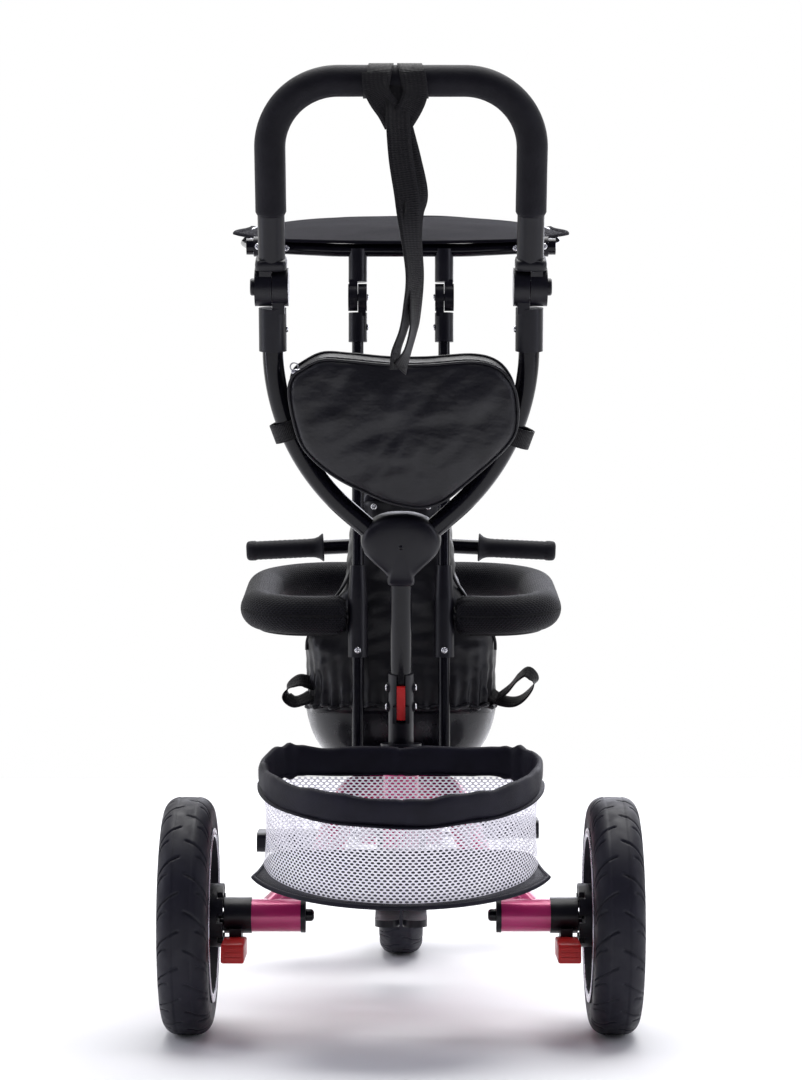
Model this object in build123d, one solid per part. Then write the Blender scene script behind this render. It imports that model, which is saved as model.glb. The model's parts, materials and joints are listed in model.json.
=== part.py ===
from build123d import *
import math
import os

# Children's tricycle with a parent push handle, millimetres, +Z up, +Y forward, +X to the rider's right.
# The origin is on the floor under the middle of the whole tricycle.

# ---- driving dimensions -------------------------------------------------------------------------
WHEELBASE = 600
TRACK = 449                  # between the rear tyre centres
REAR_WHEEL_D = 250
FRONT_WHEEL_D = 300
REAR_TYRE_W = 52
FRONT_TYRE_W = 54
TYRE_DEPTH = 35              # from tread to rim seat
TYRE_ROUND = 17
RIM_W = 46
RIM_WALL = 7
RIM_FLANGE = 3
SPOKES = 5
SPOKE_W = 18
SPOKE_T = 12
HUB_R = 18

FRAME_TUBE_R = 19
FRAME_WALL = 2.5
MAIN_TUBE_Z = 200
UPRIGHT_Y = 45               # ahead of the rear axle
UPRIGHT_TOP = 290
STEER_LEAN = 22              # degrees back from vertical
HEAD_LOW, HEAD_HIGH = 185, 265    # along the steering axis, from the front axle
STEERER_R = 11
FORK_LEG_R = 9
FORK_LEG_X = 42
BAR_REACH = 395              # handlebar centre along the steering axis
BAR_R = 9
BAR_HALF = 186
GRIP_L = 94
GRIP_R = 11.75
GRIP_FLANGE_R = 17

REAR_AXLE_R = 4
STUB_R = 17.5
STUB_WALL = 2.5
STUB_IN, STUB_OUT = 106, 158      # ends of the stub axle tube from the middle
DRUM_R = 33.5
DRUM_IN = 187.5
BRAKE_R = 19

CRANK_R = 80
CRANK_AXLE_R = 5
CRANK_X = 70                 # inner face of the crank arm
CRANK_T = 10
PEDAL_L, PEDAL_W, PEDAL_T = 94, 60, 24
PEDAL_SPINDLE_R = 4

SEAT_BACK_Y = 146
SEAT_DEPTH = 238
SEAT_BASE_Z = 272.5
SEAT_PAN_TOP = 345
SEAT_TOP = 595
SEAT_HALF = 110
SEAT_HALF_LOW = 88
SEAT_HALF_TOP = 73
SEAT_WALL = 5
SEAT_WING = 42

POST_X = 47.5                # canopy posts from the middle
POST_Y = 115
POST_R = 6.5
SLEEVE_R = 11
SLEEVE_LOW, SLEEVE_HIGH, COLLAR_HIGH = 394, 459, 495
ROD_LOW, ROD_HIGH = 430, 741

HANDLE_Y, HANDLE_Z = 40, 344      # where the handle's line crosses the socket
HANDLE_LEAN = 12
STEM_R = 11.2
ARM_R = 11
ARM_X = 134
ARM_BEND = 230
JOINT_S = 452                # fold joint along the handle from the socket
LOOP_LEAN = 23
LOOP_H = 218
LOOP_BEND = 70
FOAM_R = 16
JOINT_R = 20

RING_X = 158.5
RING_FOAM_R = 21.5
RING_Y, RING_Z = 120, 440
RING_FRONT_Y, RING_FRONT_Z = 390, 476

CANOPY_Z = 846
CANOPY_TILT = 10
CANOPY_LEN = 345
CANOPY_HALF = 188
CANOPY_CROWN = 18
CANOPY_LIFT = 14
CLOTH_T = 4
BOW_R = 7.25
BOW_HALF = 152
HOOP_R = 4

BASKET_REACH = 215           # behind the rear axle
BASKET_FRONT = -5
BASKET_HALF = 147
BASKET_H = 110
BASKET_FLOOR_Z = 174
BASKET_TILT = 9
RIM_BAND_H = 30
RIM_BAND_T = 9
NET_T = 3
FLOOR_T = 6

BAG_T = 60
WEB_W = 25
WEB_T = 3

RUN_FIT = 0.08               # radial gap of a running fit
SEAT_FIT = 0.04              # radial gap of a fixed fit
FACE_GAP = 0.3               # gap between faces that slide past each other

# ---- derived places -----------------------------------------------------------------------------
BASKET_MIDDLE = (BASKET_FRONT - BASKET_REACH) / 2
BASKET_HALF_LEN = (BASKET_FRONT + BASKET_REACH) / 2
TILT_COS, TILT_SIN = math.cos(math.radians(BASKET_TILT)), math.sin(math.radians(BASKET_TILT))
REAR_REACH = BASKET_HALF_LEN * TILT_COS + BASKET_H * TILT_SIN - BASKET_MIDDLE
REAR_Y = -(WHEELBASE + FRONT_WHEEL_D / 2 - REAR_REACH) / 2
REAR_Z = REAR_WHEEL_D / 2
FRONT_Y = REAR_Y + WHEELBASE
FRONT_Z = FRONT_WHEEL_D / 2
WHEEL_X = TRACK / 2


def at(y):
    """World Y of a place y ahead of the rear axle."""
    return REAR_Y + y


# ---- shape helpers ------------------------------------------------------------------------------
def box(x0, x1, y0, y1, z0, z1):
    middle = Pos((x0 + x1) / 2, (y0 + y1) / 2, (z0 + z1) / 2)
    return middle * Box(abs(x1 - x0), abs(y1 - y0), abs(z1 - z0))


def cyl_x(radius, x0, x1, y=0, z=0):
    return Pos((x0 + x1) / 2, y, z) * Rot(0, 90, 0) * Cylinder(radius, abs(x1 - x0))


def cyl_y(radius, y0, y1, x=0, z=0):
    return Pos(x, (y0 + y1) / 2, z) * Rot(90, 0, 0) * Cylinder(radius, abs(y1 - y0))


def cyl_z(radius, z0, z1, x=0, y=0):
    return Pos(x, y, (z0 + z1) / 2) * Cylinder(radius, abs(z1 - z0))


def bent_rod(points, radii, radius):
    path = FilletPolyline(*points, radius=radii)
    section = Plane(origin=path @ 0, z_dir=path % 0) * Circle(radius)
    return sweep(section, path=path)


def bent_tube(points, radii, radius, wall):
    return bent_rod(points, radii, radius) - bent_rod(points, radii, radius - wall)


def both_sides(make):
    """One group of the left and the right copy of a piece."""
    return Compound(children=[make(-1), make(1)])


def on_steering(shape):
    """Places a shape made on the steering axis: origin at the front axle, Z along the axis."""
    return Pos(0, FRONT_Y, FRONT_Z) * Rot(STEER_LEAN, 0, 0) * shape


def on_handle(shape):
    """Places a shape made in the push handle's own upright frame."""
    return Pos(0, at(HANDLE_Y), HANDLE_Z) * Rot(HANDLE_LEAN, 0, 0) * shape


JOINT_Y = at(HANDLE_Y) - JOINT_S * math.sin(math.radians(HANDLE_LEAN))
JOINT_Z = HANDLE_Z + JOINT_S * math.cos(math.radians(HANDLE_LEAN))


def on_loop(shape):
    """Places a shape made in the loop's frame: origin on the fold joint's axis."""
    return Pos(0, JOINT_Y, JOINT_Z) * Rot(LOOP_LEAN, 0, 0) * shape


def on_canopy(shape):
    """Places a shape made in the canopy's frame: origin on the hoop's hinge line."""
    return Pos(0, at(POST_Y), CANOPY_Z) * Rot(CANOPY_TILT, 0, 0) * shape


def on_basket(shape):
    """Places a shape made in the basket's frame: origin under the middle of its floor."""
    return Pos(0, at(BASKET_MIDDLE), BASKET_FLOOR_Z) * Rot(BASKET_TILT, 0, 0) * shape


# ---- wheels -------------------------------------------------------------------------------------
def tyre(wheel_r, width):
    section = Pos(0, wheel_r - TYRE_DEPTH / 2) * RectangleRounded(width, TYRE_DEPTH, TYRE_ROUND)
    return revolve(section, axis=Axis.X)


def rim(wheel_r, hub_half, bore_r, bore_end):
    """Moulded wheel: barrel, two flanges, spokes and hub, bored from -X as far as bore_end."""
    seat_r = wheel_r - TYRE_DEPTH - SEAT_FIT
    half = RIM_W / 2
    barrel = cyl_x(seat_r, -half, half) - cyl_x(seat_r - RIM_WALL, -half - 1, half + 1)
    shape = barrel
    for side in (-1, 1):
        edge = side * half
        lip = cyl_x(seat_r + 2, edge, edge + side * RIM_FLANGE)
        shape += lip - cyl_x(seat_r - RIM_WALL, edge - side, edge + side * (RIM_FLANGE + 1))
    shape += cyl_x(HUB_R, -hub_half, hub_half)
    length = seat_r - RIM_WALL / 2
    for index in range(SPOKES):
        spoke = box(-SPOKE_T / 2, SPOKE_T / 2, -SPOKE_W / 2, SPOKE_W / 2, 0, length)
        shape += Rot(360 / SPOKES * index, 0, 0) * spoke
    return shape - cyl_x(bore_r, -hub_half - 1, bore_end)


REAR_HUB_HALF = 20
REAR_BORE_END = 17
REAR_AXLE_END = 15


def place_rear(shape, side):
    turned = shape if side > 0 else Rot(0, 0, 180) * shape
    return Pos(side * WHEEL_X, REAR_Y, REAR_Z) * turned


def rear_tyre(side):
    return place_rear(tyre(REAR_WHEEL_D / 2, REAR_TYRE_W), side)


def rear_rim(side):
    shape = rim(REAR_WHEEL_D / 2, REAR_HUB_HALF, REAR_AXLE_R + RUN_FIT, REAR_BORE_END)
    shape += cyl_x(HUB_R - 4, REAR_HUB_HALF, REAR_HUB_HALF + 4)
    return place_rear(shape, side)


CASTLE_SLOTS = 8
CASTLE_DEPTH = 6
CASTLE_W = 9


def hub_drum(side):
    """Castellated drum on the inner side of the wheel, where the brake bites."""
    outer = WHEEL_X - REAR_HUB_HALF
    shape = cyl_x(DRUM_R, DRUM_IN, outer) - cyl_x(DRUM_R - 9, DRUM_IN - 1, DRUM_IN + CASTLE_DEPTH)
    for index in range(CASTLE_SLOTS):
        slot = box(DRUM_IN - 1, DRUM_IN + CASTLE_DEPTH, -CASTLE_W / 2, CASTLE_W / 2, 0, DRUM_R + 1)
        shape -= Rot(360 / CASTLE_SLOTS * index, 0, 0) * slot
    shape -= cyl_x(REAR_AXLE_R + RUN_FIT, DRUM_IN - 1, outer + 1)
    turned = shape if side > 0 else Rot(0, 0, 180) * shape
    return Pos(0, REAR_Y, REAR_Z) * turned


FRONT_HUB_HALF = 30


def front_tyre():
    return Pos(0, FRONT_Y, FRONT_Z) * tyre(FRONT_WHEEL_D / 2, FRONT_TYRE_W)


def front_rim():
    shape = rim(FRONT_WHEEL_D / 2, FRONT_HUB_HALF, CRANK_AXLE_R + SEAT_FIT, FRONT_HUB_HALF + 1)
    return Pos(0, FRONT_Y, FRONT_Z) * shape


CRANK_EYE_R = 11
CRANK_TIP_R = 9
SPINDLE_L = 96


def crankset():
    """Axle, two crank arms a half turn apart and the two pedal spindles."""
    shape = cyl_x(CRANK_AXLE_R, -CRANK_X, CRANK_X)
    for side in (-1, 1):
        inner, outer = side * CRANK_X, side * (CRANK_X + CRANK_T)
        arm = cyl_x(CRANK_EYE_R, inner, outer) + cyl_x(CRANK_TIP_R, inner, outer, side * CRANK_R)
        arm += box(inner, outer, 0, side * CRANK_R, -CRANK_TIP_R, CRANK_TIP_R)
        shape += arm
        shape += cyl_x(PEDAL_SPINDLE_R, outer, outer + side * SPINDLE_L, side * CRANK_R)
    return Pos(0, FRONT_Y, FRONT_Z) * shape


PEDAL_GAP = 4


def pedal(side):
    inner = CRANK_X + CRANK_T + PEDAL_GAP
    body = Box(PEDAL_L, PEDAL_W, PEDAL_T)
    body = fillet(body.edges().filter_by(Axis.X), 7)
    body = Pos(side * (inner + PEDAL_L / 2), 0, 0) * body
    end = CRANK_X + CRANK_T + SPINDLE_L + 0.5
    body -= cyl_x(PEDAL_SPINDLE_R + RUN_FIT, side * (inner - 1), side * end)
    return Pos(0, FRONT_Y + side * CRANK_R, FRONT_Z) * body


# ---- frame --------------------------------------------------------------------------------------
def rear_upright():
    tube = cyl_z(FRAME_TUBE_R, MAIN_TUBE_Z - FRAME_TUBE_R - 3, UPRIGHT_TOP, 0, at(UPRIGHT_Y))
    tube = fillet(tube.edges().sort_by(Axis.Z)[0], 6)
    low = MAIN_TUBE_Z - FRAME_TUBE_R + 2
    return tube - cyl_z(FRAME_TUBE_R - FRAME_WALL, low, UPRIGHT_TOP + 1, 0, at(UPRIGHT_Y))


MAIN_TUBE_END = 330
POST_BLOCK_X = 17
POST_BLOCK_Y0, POST_BLOCK_Y1 = 160, 210
CARRIER_Z, CARRIER_T = 266, 6
CARRIER_X, CARRIER_Y0, CARRIER_Y1 = 70, 98, 350


def main_tube():
    """Level tube from the upright, with the block that the seat and the rear arms stand on."""
    outer = cyl_y(FRAME_TUBE_R, at(UPRIGHT_Y), at(MAIN_TUBE_END), 0, MAIN_TUBE_Z)
    block = box(-POST_BLOCK_X, POST_BLOCK_X, at(POST_BLOCK_Y0), at(POST_BLOCK_Y1), MAIN_TUBE_Z, CARRIER_Z)
    shape = outer + block
    inside = cyl_y(FRAME_TUBE_R - FRAME_WALL, at(UPRIGHT_Y), at(MAIN_TUBE_END) + 1, 0, MAIN_TUBE_Z)
    shape -= inside
    return shape - cyl_z(FRAME_TUBE_R + SEAT_FIT, 0, UPRIGHT_TOP, 0, at(UPRIGHT_Y))


DOWN_CORNER = 405
DOWN_BEND = 70


def down_tube():
    """Bent tube from the level tube up to the head tube, which is welded on its end."""
    lean = math.radians(STEER_LEAN)
    middle = (HEAD_LOW + HEAD_HIGH) / 2
    end = (0, FRONT_Y - middle * math.sin(lean), FRONT_Z + middle * math.cos(lean))
    points = [(0, at(MAIN_TUBE_END), MAIN_TUBE_Z), (0, at(DOWN_CORNER), MAIN_TUBE_Z), end]
    shape = bent_tube(points, [DOWN_BEND], FRAME_TUBE_R, FRAME_WALL)
    shape += on_steering(cyl_z(FRAME_TUBE_R, HEAD_LOW, HEAD_HIGH))
    return shape - on_steering(cyl_z(STEERER_R + RUN_FIT, HEAD_LOW - 1, HEAD_HIGH + 1))


ARM_TUBE_R = 17
ARM_Y, ARM_Z = 185, 248
ARM_OUT_X = 52
ARM_BENDS = [38, 120]


def axle_arm(side):
    """Curved strut from the seat block to the stub axle tube."""
    points = [
        (side * POST_BLOCK_X, at(ARM_Y), ARM_Z),
        (side * ARM_OUT_X, at(ARM_Y), ARM_Z),
        (side * 87, at(80), 169),
        (side * (STUB_IN + STUB_OUT + 16) / 2, REAR_Y, REAR_Z),
    ]
    stub = cyl_x(STUB_R, side * STUB_IN, side * STUB_OUT, REAR_Y, REAR_Z)
    strut = bent_rod(points, ARM_BENDS, ARM_TUBE_R)
    bore = cyl_x(STUB_R - STUB_WALL, side * (STUB_IN - 1), side * (STUB_OUT + 1), REAR_Y, REAR_Z)
    hollow = bent_rod(points, ARM_BENDS, ARM_TUBE_R - FRAME_WALL)
    return stub + strut - bore - hollow


CAP_T = 5
SPIGOT_L = 12
NUT_R = 6.5
NUT_T = 9


def axle_end_cap(side):
    plug_r = STUB_R - STUB_WALL - SEAT_FIT
    shape = cyl_x(STUB_R + 1, side * (STUB_IN - CAP_T), side * STUB_IN, REAR_Y, REAR_Z)
    shape += cyl_x(plug_r, side * STUB_IN, side * (STUB_IN + SPIGOT_L), REAR_Y, REAR_Z)
    bore = cyl_x(REAR_AXLE_R + SEAT_FIT, side * (STUB_IN - CAP_T - 1), side * (STUB_OUT), REAR_Y, REAR_Z)
    return shape - bore


def rear_axle(side):
    """Wheel spindle with a domed nut on its inner end."""
    start = STUB_IN - CAP_T
    shape = cyl_x(REAR_AXLE_R, side * start, side * (WHEEL_X + REAR_AXLE_END), REAR_Y, REAR_Z)
    nut = cyl_x(NUT_R, side * (start - NUT_T), side * start, REAR_Y, REAR_Z)
    inner_edge = nut.edges().sort_by(Axis.X)[0 if side > 0 else -1]
    return shape + fillet(inner_edge, 4)


BRAKE_BLOCK_X0, BRAKE_BLOCK_X1 = 168, 181
BRAKE_PIN_Y, BRAKE_PIN_Z = -14, 99
BRAKE_PIN_R = 3
BRAKE_PEDAL_X0, BRAKE_PEDAL_X1 = 162.5, 186.5


def brake_housing(side):
    """Fixed collar between the stub and the drum, with the pedal's block and pin below it."""
    outer = DRUM_IN - 0.5
    shape = cyl_x(BRAKE_R, side * STUB_OUT, side * outer, REAR_Y, REAR_Z)
    plug_r = STUB_R - STUB_WALL - SEAT_FIT
    shape += cyl_x(plug_r, side * (STUB_OUT - SPIGOT_L), side * STUB_OUT, REAR_Y, REAR_Z)
    pin_y = at(BRAKE_PIN_Y)
    block = box(side * BRAKE_BLOCK_X0, side * BRAKE_BLOCK_X1, pin_y - 7, REAR_Y + 12, BRAKE_PIN_Z - 7, REAR_Z - 12)
    shape += block
    shape += cyl_x(BRAKE_PIN_R, side * (BRAKE_PEDAL_X0 + 1), side * (BRAKE_PEDAL_X1 - 1), pin_y, BRAKE_PIN_Z)
    return shape - cyl_x(REAR_AXLE_R + SEAT_FIT, side * (STUB_OUT - 20), side * (outer + 1), REAR_Y, REAR_Z)


def brake_pedal(side):
    """Foot pedal: two cheeks on the pin and a tread that slopes down to the rear."""
    pin_y = at(BRAKE_PIN_Y)
    x0, x1 = side * BRAKE_PEDAL_X0, side * BRAKE_PEDAL_X1
    cheek_in = side * (BRAKE_BLOCK_X0 - 0.5)
    cheek_out = side * (BRAKE_BLOCK_X1 + 0.5)
    shape = cyl_x(6, x0, cheek_in, pin_y, BRAKE_PIN_Z) + cyl_x(6, cheek_out, x1, pin_y, BRAKE_PIN_Z)
    shape += box(x0, cheek_in, pin_y - 22, pin_y, BRAKE_PIN_Z - 12, BRAKE_PIN_Z)
    shape += box(cheek_out, x1, pin_y - 22, pin_y, BRAKE_PIN_Z - 12, BRAKE_PIN_Z)
    tread = Pos((x0 + x1) / 2, pin_y - 12, BRAKE_PIN_Z - 6) * Rot(14, 0, 0) * box(
        -(BRAKE_PEDAL_X1 - BRAKE_PEDAL_X0) / 2, (BRAKE_PEDAL_X1 - BRAKE_PEDAL_X0) / 2, -52, 0, -6, 3)
    shape += tread - box(
        side * (BRAKE_BLOCK_X0 - 0.5), side * (BRAKE_BLOCK_X1 + 0.5), pin_y - 9, pin_y + 30, 0, REAR_Z)
    return shape - cyl_x(BRAKE_PIN_R + RUN_FIT, x0, x1, pin_y, BRAKE_PIN_Z)


# ---- steering -----------------------------------------------------------------------------------
CROWN_LOW, CROWN_HIGH = 160, 180
CROWN_DEPTH = 32
CROWN_SIDE = 3
EYE_R = 14
EYE_IN, EYE_OUT = 32, 52.5


def fork():
    """Crown, two legs with bearing eyes, and the steerer through the head tube."""
    reach = FORK_LEG_X + FORK_LEG_R + CROWN_SIDE
    crown = box(-reach, reach, -CROWN_DEPTH / 2, CROWN_DEPTH / 2, CROWN_LOW, CROWN_HIGH)
    shape = fillet(crown.edges().filter_by(Axis.Y), 7)
    shape += cyl_z(STEERER_R, CROWN_HIGH, BAR_REACH - 14)
    for side in (-1, 1):
        shape += cyl_z(FORK_LEG_R, 0, CROWN_LOW + 8, side * FORK_LEG_X)
        shape += cyl_x(EYE_R, side * EYE_IN, side * EYE_OUT)
    shape -= cyl_x(CRANK_AXLE_R + RUN_FIT, -reach - 1, reach + 1)
    return on_steering(shape)


BAR_MIDDLE = 60
BAR_DROOP = 6
BAR_BACK = 6


def bar_points():
    lean = math.radians(STEER_LEAN)
    y = FRONT_Y - BAR_REACH * math.sin(lean)
    z = FRONT_Z + BAR_REACH * math.cos(lean)
    return [
        (-BAR_HALF, y - BAR_BACK, z - BAR_DROOP), (-BAR_MIDDLE, y, z),
        (BAR_MIDDLE, y, z), (BAR_HALF, y - BAR_BACK, z - BAR_DROOP),
    ]


def handlebar():
    return bent_tube(bar_points(), [300, 300], BAR_R, 2)


def bar_clamp():
    """Block that holds the handlebar on the steerer."""
    block = box(-20, 20, -19, 19, BAR_REACH - 34, BAR_REACH + 17)
    block = fillet(block.edges().filter_by(Axis.X), 8)
    block -= cyl_z(STEERER_R + SEAT_FIT, 0, BAR_REACH - 14)
    block -= cyl_x(BAR_R + SEAT_FIT, -30, 30, 0, BAR_REACH)
    return on_steering(block)


def grip(side):
    points = bar_points()
    tip, inner = (points[3], points[2]) if side > 0 else (points[0], points[1])
    tip, inner = Vector(*tip), Vector(*inner)
    along = (inner - tip).normalized()
    base = Plane(origin=tip - along * 2, z_dir=along)
    shape = base * (Pos(0, 0, GRIP_L / 2) * Cylinder(GRIP_R, GRIP_L))
    shape += base * (Pos(0, 0, GRIP_L - 2) * Cylinder(GRIP_FLANGE_R, 4))
    shape -= base * (Pos(0, 0, 2 + GRIP_L / 2) * Cylinder(BAR_R + SEAT_FIT, GRIP_L))
    return shape


# ---- seat ---------------------------------------------------------------------------------------
def seat_outline(inset):
    """Outline of the backrest in X and Z, narrower at the top."""
    low = SEAT_BASE_Z + 14
    half_low, half_top = SEAT_HALF - 8 - inset, SEAT_HALF_TOP - inset
    points = [(-half_low, low + inset), (half_low, low + inset),
              (half_low, SEAT_PAN_TOP + 60), (half_top, SEAT_TOP - inset),
              (-half_top, SEAT_TOP - inset), (-half_low, SEAT_PAN_TOP + 60)]
    face = make_face(Polyline(*points, close=True))
    return fillet(face.vertices(), 20 - inset)


def seat_slab(inset, y0, y1):
    plane = Plane(origin=(0, at(y1), 0), x_dir=(1, 0, 0), z_dir=(0, -1, 0))
    return extrude(plane * seat_outline(inset), y1 - y0)


def seat_pan(inset):
    low = SEAT_BASE_Z + inset
    depth = SEAT_DEPTH - 2 * inset
    middle = at(SEAT_BACK_Y + SEAT_DEPTH / 2)
    bottom = Pos(0, middle, low) * RectangleRounded(
        2 * (SEAT_HALF_LOW - inset), depth - 20, 30 - inset)
    top_z = SEAT_PAN_TOP + (1 if inset else 0)
    top = Pos(0, middle, top_z) * RectangleRounded(2 * (SEAT_HALF - inset), depth, 40 - inset)
    return loft([bottom, top])


def seat_shell():
    """Moulded bucket: a pan with a raised rim, and a backrest with side wings."""
    back = seat_slab(0, SEAT_BACK_Y, SEAT_BACK_Y + SEAT_WING)
    hollow_back = seat_slab(SEAT_WALL, SEAT_BACK_Y + SEAT_WALL, SEAT_BACK_Y + SEAT_WING + 1)
    shape = seat_pan(0) + back
    front_cut = box(-60, 60, at(SEAT_BACK_Y + SEAT_DEPTH - 12), at(SEAT_BACK_Y + SEAT_DEPTH + 5),
                    SEAT_PAN_TOP - 22, SEAT_PAN_TOP + 5)
    return shape - seat_pan(SEAT_WALL) - hollow_back - front_cut


LINER_T = 9
LINER_GAP = 0.5


def seat_cover():
    """Padded liner in the bucket, and the fabric back of the cover behind the backrest."""
    inset = SEAT_WALL + LINER_GAP
    y0 = SEAT_BACK_Y + SEAT_WALL + LINER_GAP
    back_pad = seat_slab(inset + 6, y0, y0 + LINER_T) & box(
        -200, 200, at(0), at(400), SEAT_PAN_TOP - 25, SEAT_TOP)
    pan_pad = seat_pan(inset + 8) & box(
        -200, 200, at(y0), at(500), SEAT_BASE_Z, SEAT_BASE_Z + inset + 8 + LINER_T)
    rear_z0, rear_z1 = 336, 500
    rear = seat_slab(2, SEAT_BACK_Y - CLOTH_T, SEAT_BACK_Y - FACE_GAP) & box(
        -200, 200, at(0), at(400), rear_z0, rear_z1)
    return Compound(children=[back_pad, pan_pad, rear])


def harness_straps():
    """Two shoulder straps on the liner and one strap between the legs."""
    y0 = SEAT_BACK_Y + SEAT_WALL + LINER_GAP + LINER_T + LINER_GAP
    straps = [box(x - WEB_W / 2, x + WEB_W / 2, at(y0), at(y0 + WEB_T), SEAT_PAN_TOP - 20, SEAT_TOP - 90)
              for x in (-35, 35)]
    low = SEAT_BASE_Z + SEAT_WALL + LINER_GAP + 8 + LINER_T + LINER_GAP
    straps.append(box(-WEB_W / 2, WEB_W / 2, at(215), at(320), low, low + WEB_T))
    return Compound(children=straps)


def seat_carrier():
    plate = box(-CARRIER_X, CARRIER_X, at(CARRIER_Y0), at(CARRIER_Y1), CARRIER_Z, CARRIER_Z + CARRIER_T)
    return fillet(plate.edges().filter_by(Axis.Z), 12)


# ---- canopy -------------------------------------------------------------------------------------
def canopy_post(side):
    return cyl_z(POST_R, CARRIER_Z + CARRIER_T, SLEEVE_LOW + 6, side * POST_X, at(POST_Y))


RING_PIN_R = 5
RING_END_X0, RING_END_X1 = 59.5, 72


def post_sleeve(side):
    """Joining sleeve with a ribbed collar, and the pin that the safety ring turns on."""
    x, y = side * POST_X, at(POST_Y)
    shape = cyl_z(SLEEVE_R, SLEEVE_LOW, SLEEVE_HIGH, x, y)
    cone = Pos(x, y, (SLEEVE_HIGH + COLLAR_HIGH) / 2) * Cone(SLEEVE_R, POST_R + 2, COLLAR_HIGH - SLEEVE_HIGH)
    shape += cone
    shape += cyl_x(RING_PIN_R + 4, x, side * (RING_END_X0 - FACE_GAP), at(RING_Y), RING_Z)
    shape += cyl_x(RING_PIN_R, x, side * (RING_END_X1 - 2), at(RING_Y), RING_Z)
    return shape - cyl_z(POST_R + RUN_FIT, SLEEVE_LOW - 1, COLLAR_HIGH + 1, x, y)


def canopy_rod(side):
    return cyl_z(POST_R, ROD_LOW, ROD_HIGH + 10, side * POST_X, at(POST_Y))


HEAD_Z = 790
HEAD_R = 15
SOCKET_R = 10.25
HEAD_IN, HEAD_OUT = 37.5, 58
TILT_PIN_R = 4


def rod_head(side):
    """Socket on top of the rod with the inner half of the tilt joint and its pin."""
    x, y = side * POST_X, at(POST_Y)
    shape = cyl_z(SOCKET_R, ROD_HIGH, HEAD_Z - HEAD_R - 2, x, y)
    shape += cyl_x(HEAD_R, side * HEAD_IN, side * (POST_X - FACE_GAP), y, HEAD_Z)
    shape += box(side * (HEAD_IN + 1), side * (POST_X - FACE_GAP), y - 9, y + 9, HEAD_Z - HEAD_R - 6, HEAD_Z)
    shape += cyl_x(TILT_PIN_R, side * (POST_X - 2), side * (HEAD_OUT - 2), y, HEAD_Z)
    return shape - cyl_z(POST_R + SEAT_FIT, ROD_HIGH - 1, ROD_HIGH + 10 + SEAT_FIT, x, y)


KNOB_R = 11
KNOB_X0, KNOB_X1 = 150, 162
HOOP_EYE_X1 = 170


def canopy_joints():
    """Outer halves of the two tilt joints with their sleeves, and the two knobs on the bow's ends."""
    y = at(POST_Y)
    pieces = []
    bow = bow_rod(BOW_R + SEAT_FIT)
    for side in (-1, 1):
        x = side * POST_X
        head = cyl_x(HEAD_R, side * (POST_X + FACE_GAP), side * HEAD_OUT, y, HEAD_Z)
        head += box(side * (POST_X + FACE_GAP), side * (HEAD_OUT - 1), y - 9, y + 9, HEAD_Z, HEAD_Z + HEAD_R + 4)
        head += cyl_z(SOCKET_R, HEAD_Z + HEAD_R + 2, CANOPY_Z - 3, x, y)
        head -= cyl_x(TILT_PIN_R + RUN_FIT, 0, side * (HEAD_OUT - 1.5), y, HEAD_Z)
        pieces.append(head - bow)
        knob = cyl_x(KNOB_R, side * KNOB_X0, side * KNOB_X1, y, CANOPY_Z)
        knob += cyl_x(TILT_PIN_R, side * KNOB_X1, side * (HOOP_EYE_X1 - 1), y, CANOPY_Z)
        pieces.append(knob - bow)
    return Compound(children=pieces)


BOW_SAG = 4


def bow_rod(radius):
    y = at(POST_Y)
    points = [(-BOW_HALF, y, CANOPY_Z), (-70, y, CANOPY_Z - BOW_SAG),
              (70, y, CANOPY_Z - BOW_SAG), (BOW_HALF, y, CANOPY_Z)]
    return bent_rod(points, [400, 400], radius)


def rear_bow():
    return bow_rod(BOW_R) - bow_rod(BOW_R - 1.5)


HOOP_X = 176
HOOP_CORNER = 55


def canopy_hoop():
    """Wire hoop that carries the cover's front, with a flat eye on each knob's pin."""
    front = CANOPY_LEN - 20
    eye_mid = (KNOB_X1 + HOOP_EYE_X1) / 2
    points = [(eye_mid, 0, 0), (HOOP_X, 60, 0), (HOOP_X, front, 0),
              (-HOOP_X, front, 0), (-HOOP_X, 60, 0), (-eye_mid, 0, 0)]
    shape = bent_rod(points, [80, HOOP_CORNER, HOOP_CORNER, 80], HOOP_R)
    for side in (-1, 1):
        shape += cyl_x(9, side * (KNOB_X1 + FACE_GAP), side * HOOP_EYE_X1)
        shape -= cyl_x(TILT_PIN_R + RUN_FIT, side * KNOB_X1, side * (HOOP_EYE_X1 + 1))
    return on_canopy(shape)


COVER_REAR = -12
COVER_CORNER = 45
COVER_TRIM = 2


def canopy_cover():
    """Crowned cloth sheet over the hoop, with rounded corners."""
    low = CANOPY_LIFT
    top = low + CANOPY_CROWN
    outer = make_face([
        ThreePointArc((-CANOPY_HALF, low), (0, top), (CANOPY_HALF, low)),
        Line((CANOPY_HALF, low), (CANOPY_HALF, low + CLOTH_T)),
        ThreePointArc((CANOPY_HALF, low + CLOTH_T), (0, top + CLOTH_T), (-CANOPY_HALF, low + CLOTH_T)),
        Line((-CANOPY_HALF, low + CLOTH_T), (-CANOPY_HALF, low)),
    ])
    plane = Plane(origin=(0, CANOPY_LEN, 0), x_dir=(1, 0, 0), z_dir=(0, -1, 0))
    sheet = extrude(plane * outer, CANOPY_LEN - COVER_REAR)
    middle = (CANOPY_LEN + COVER_REAR) / 2
    width, length = 2 * CANOPY_HALF - COVER_TRIM, CANOPY_LEN - COVER_REAR - COVER_TRIM
    trim = extrude(Pos(0, middle, -20) * RectangleRounded(width, length, COVER_CORNER), 100)
    return on_canopy(sheet & trim)


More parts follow.
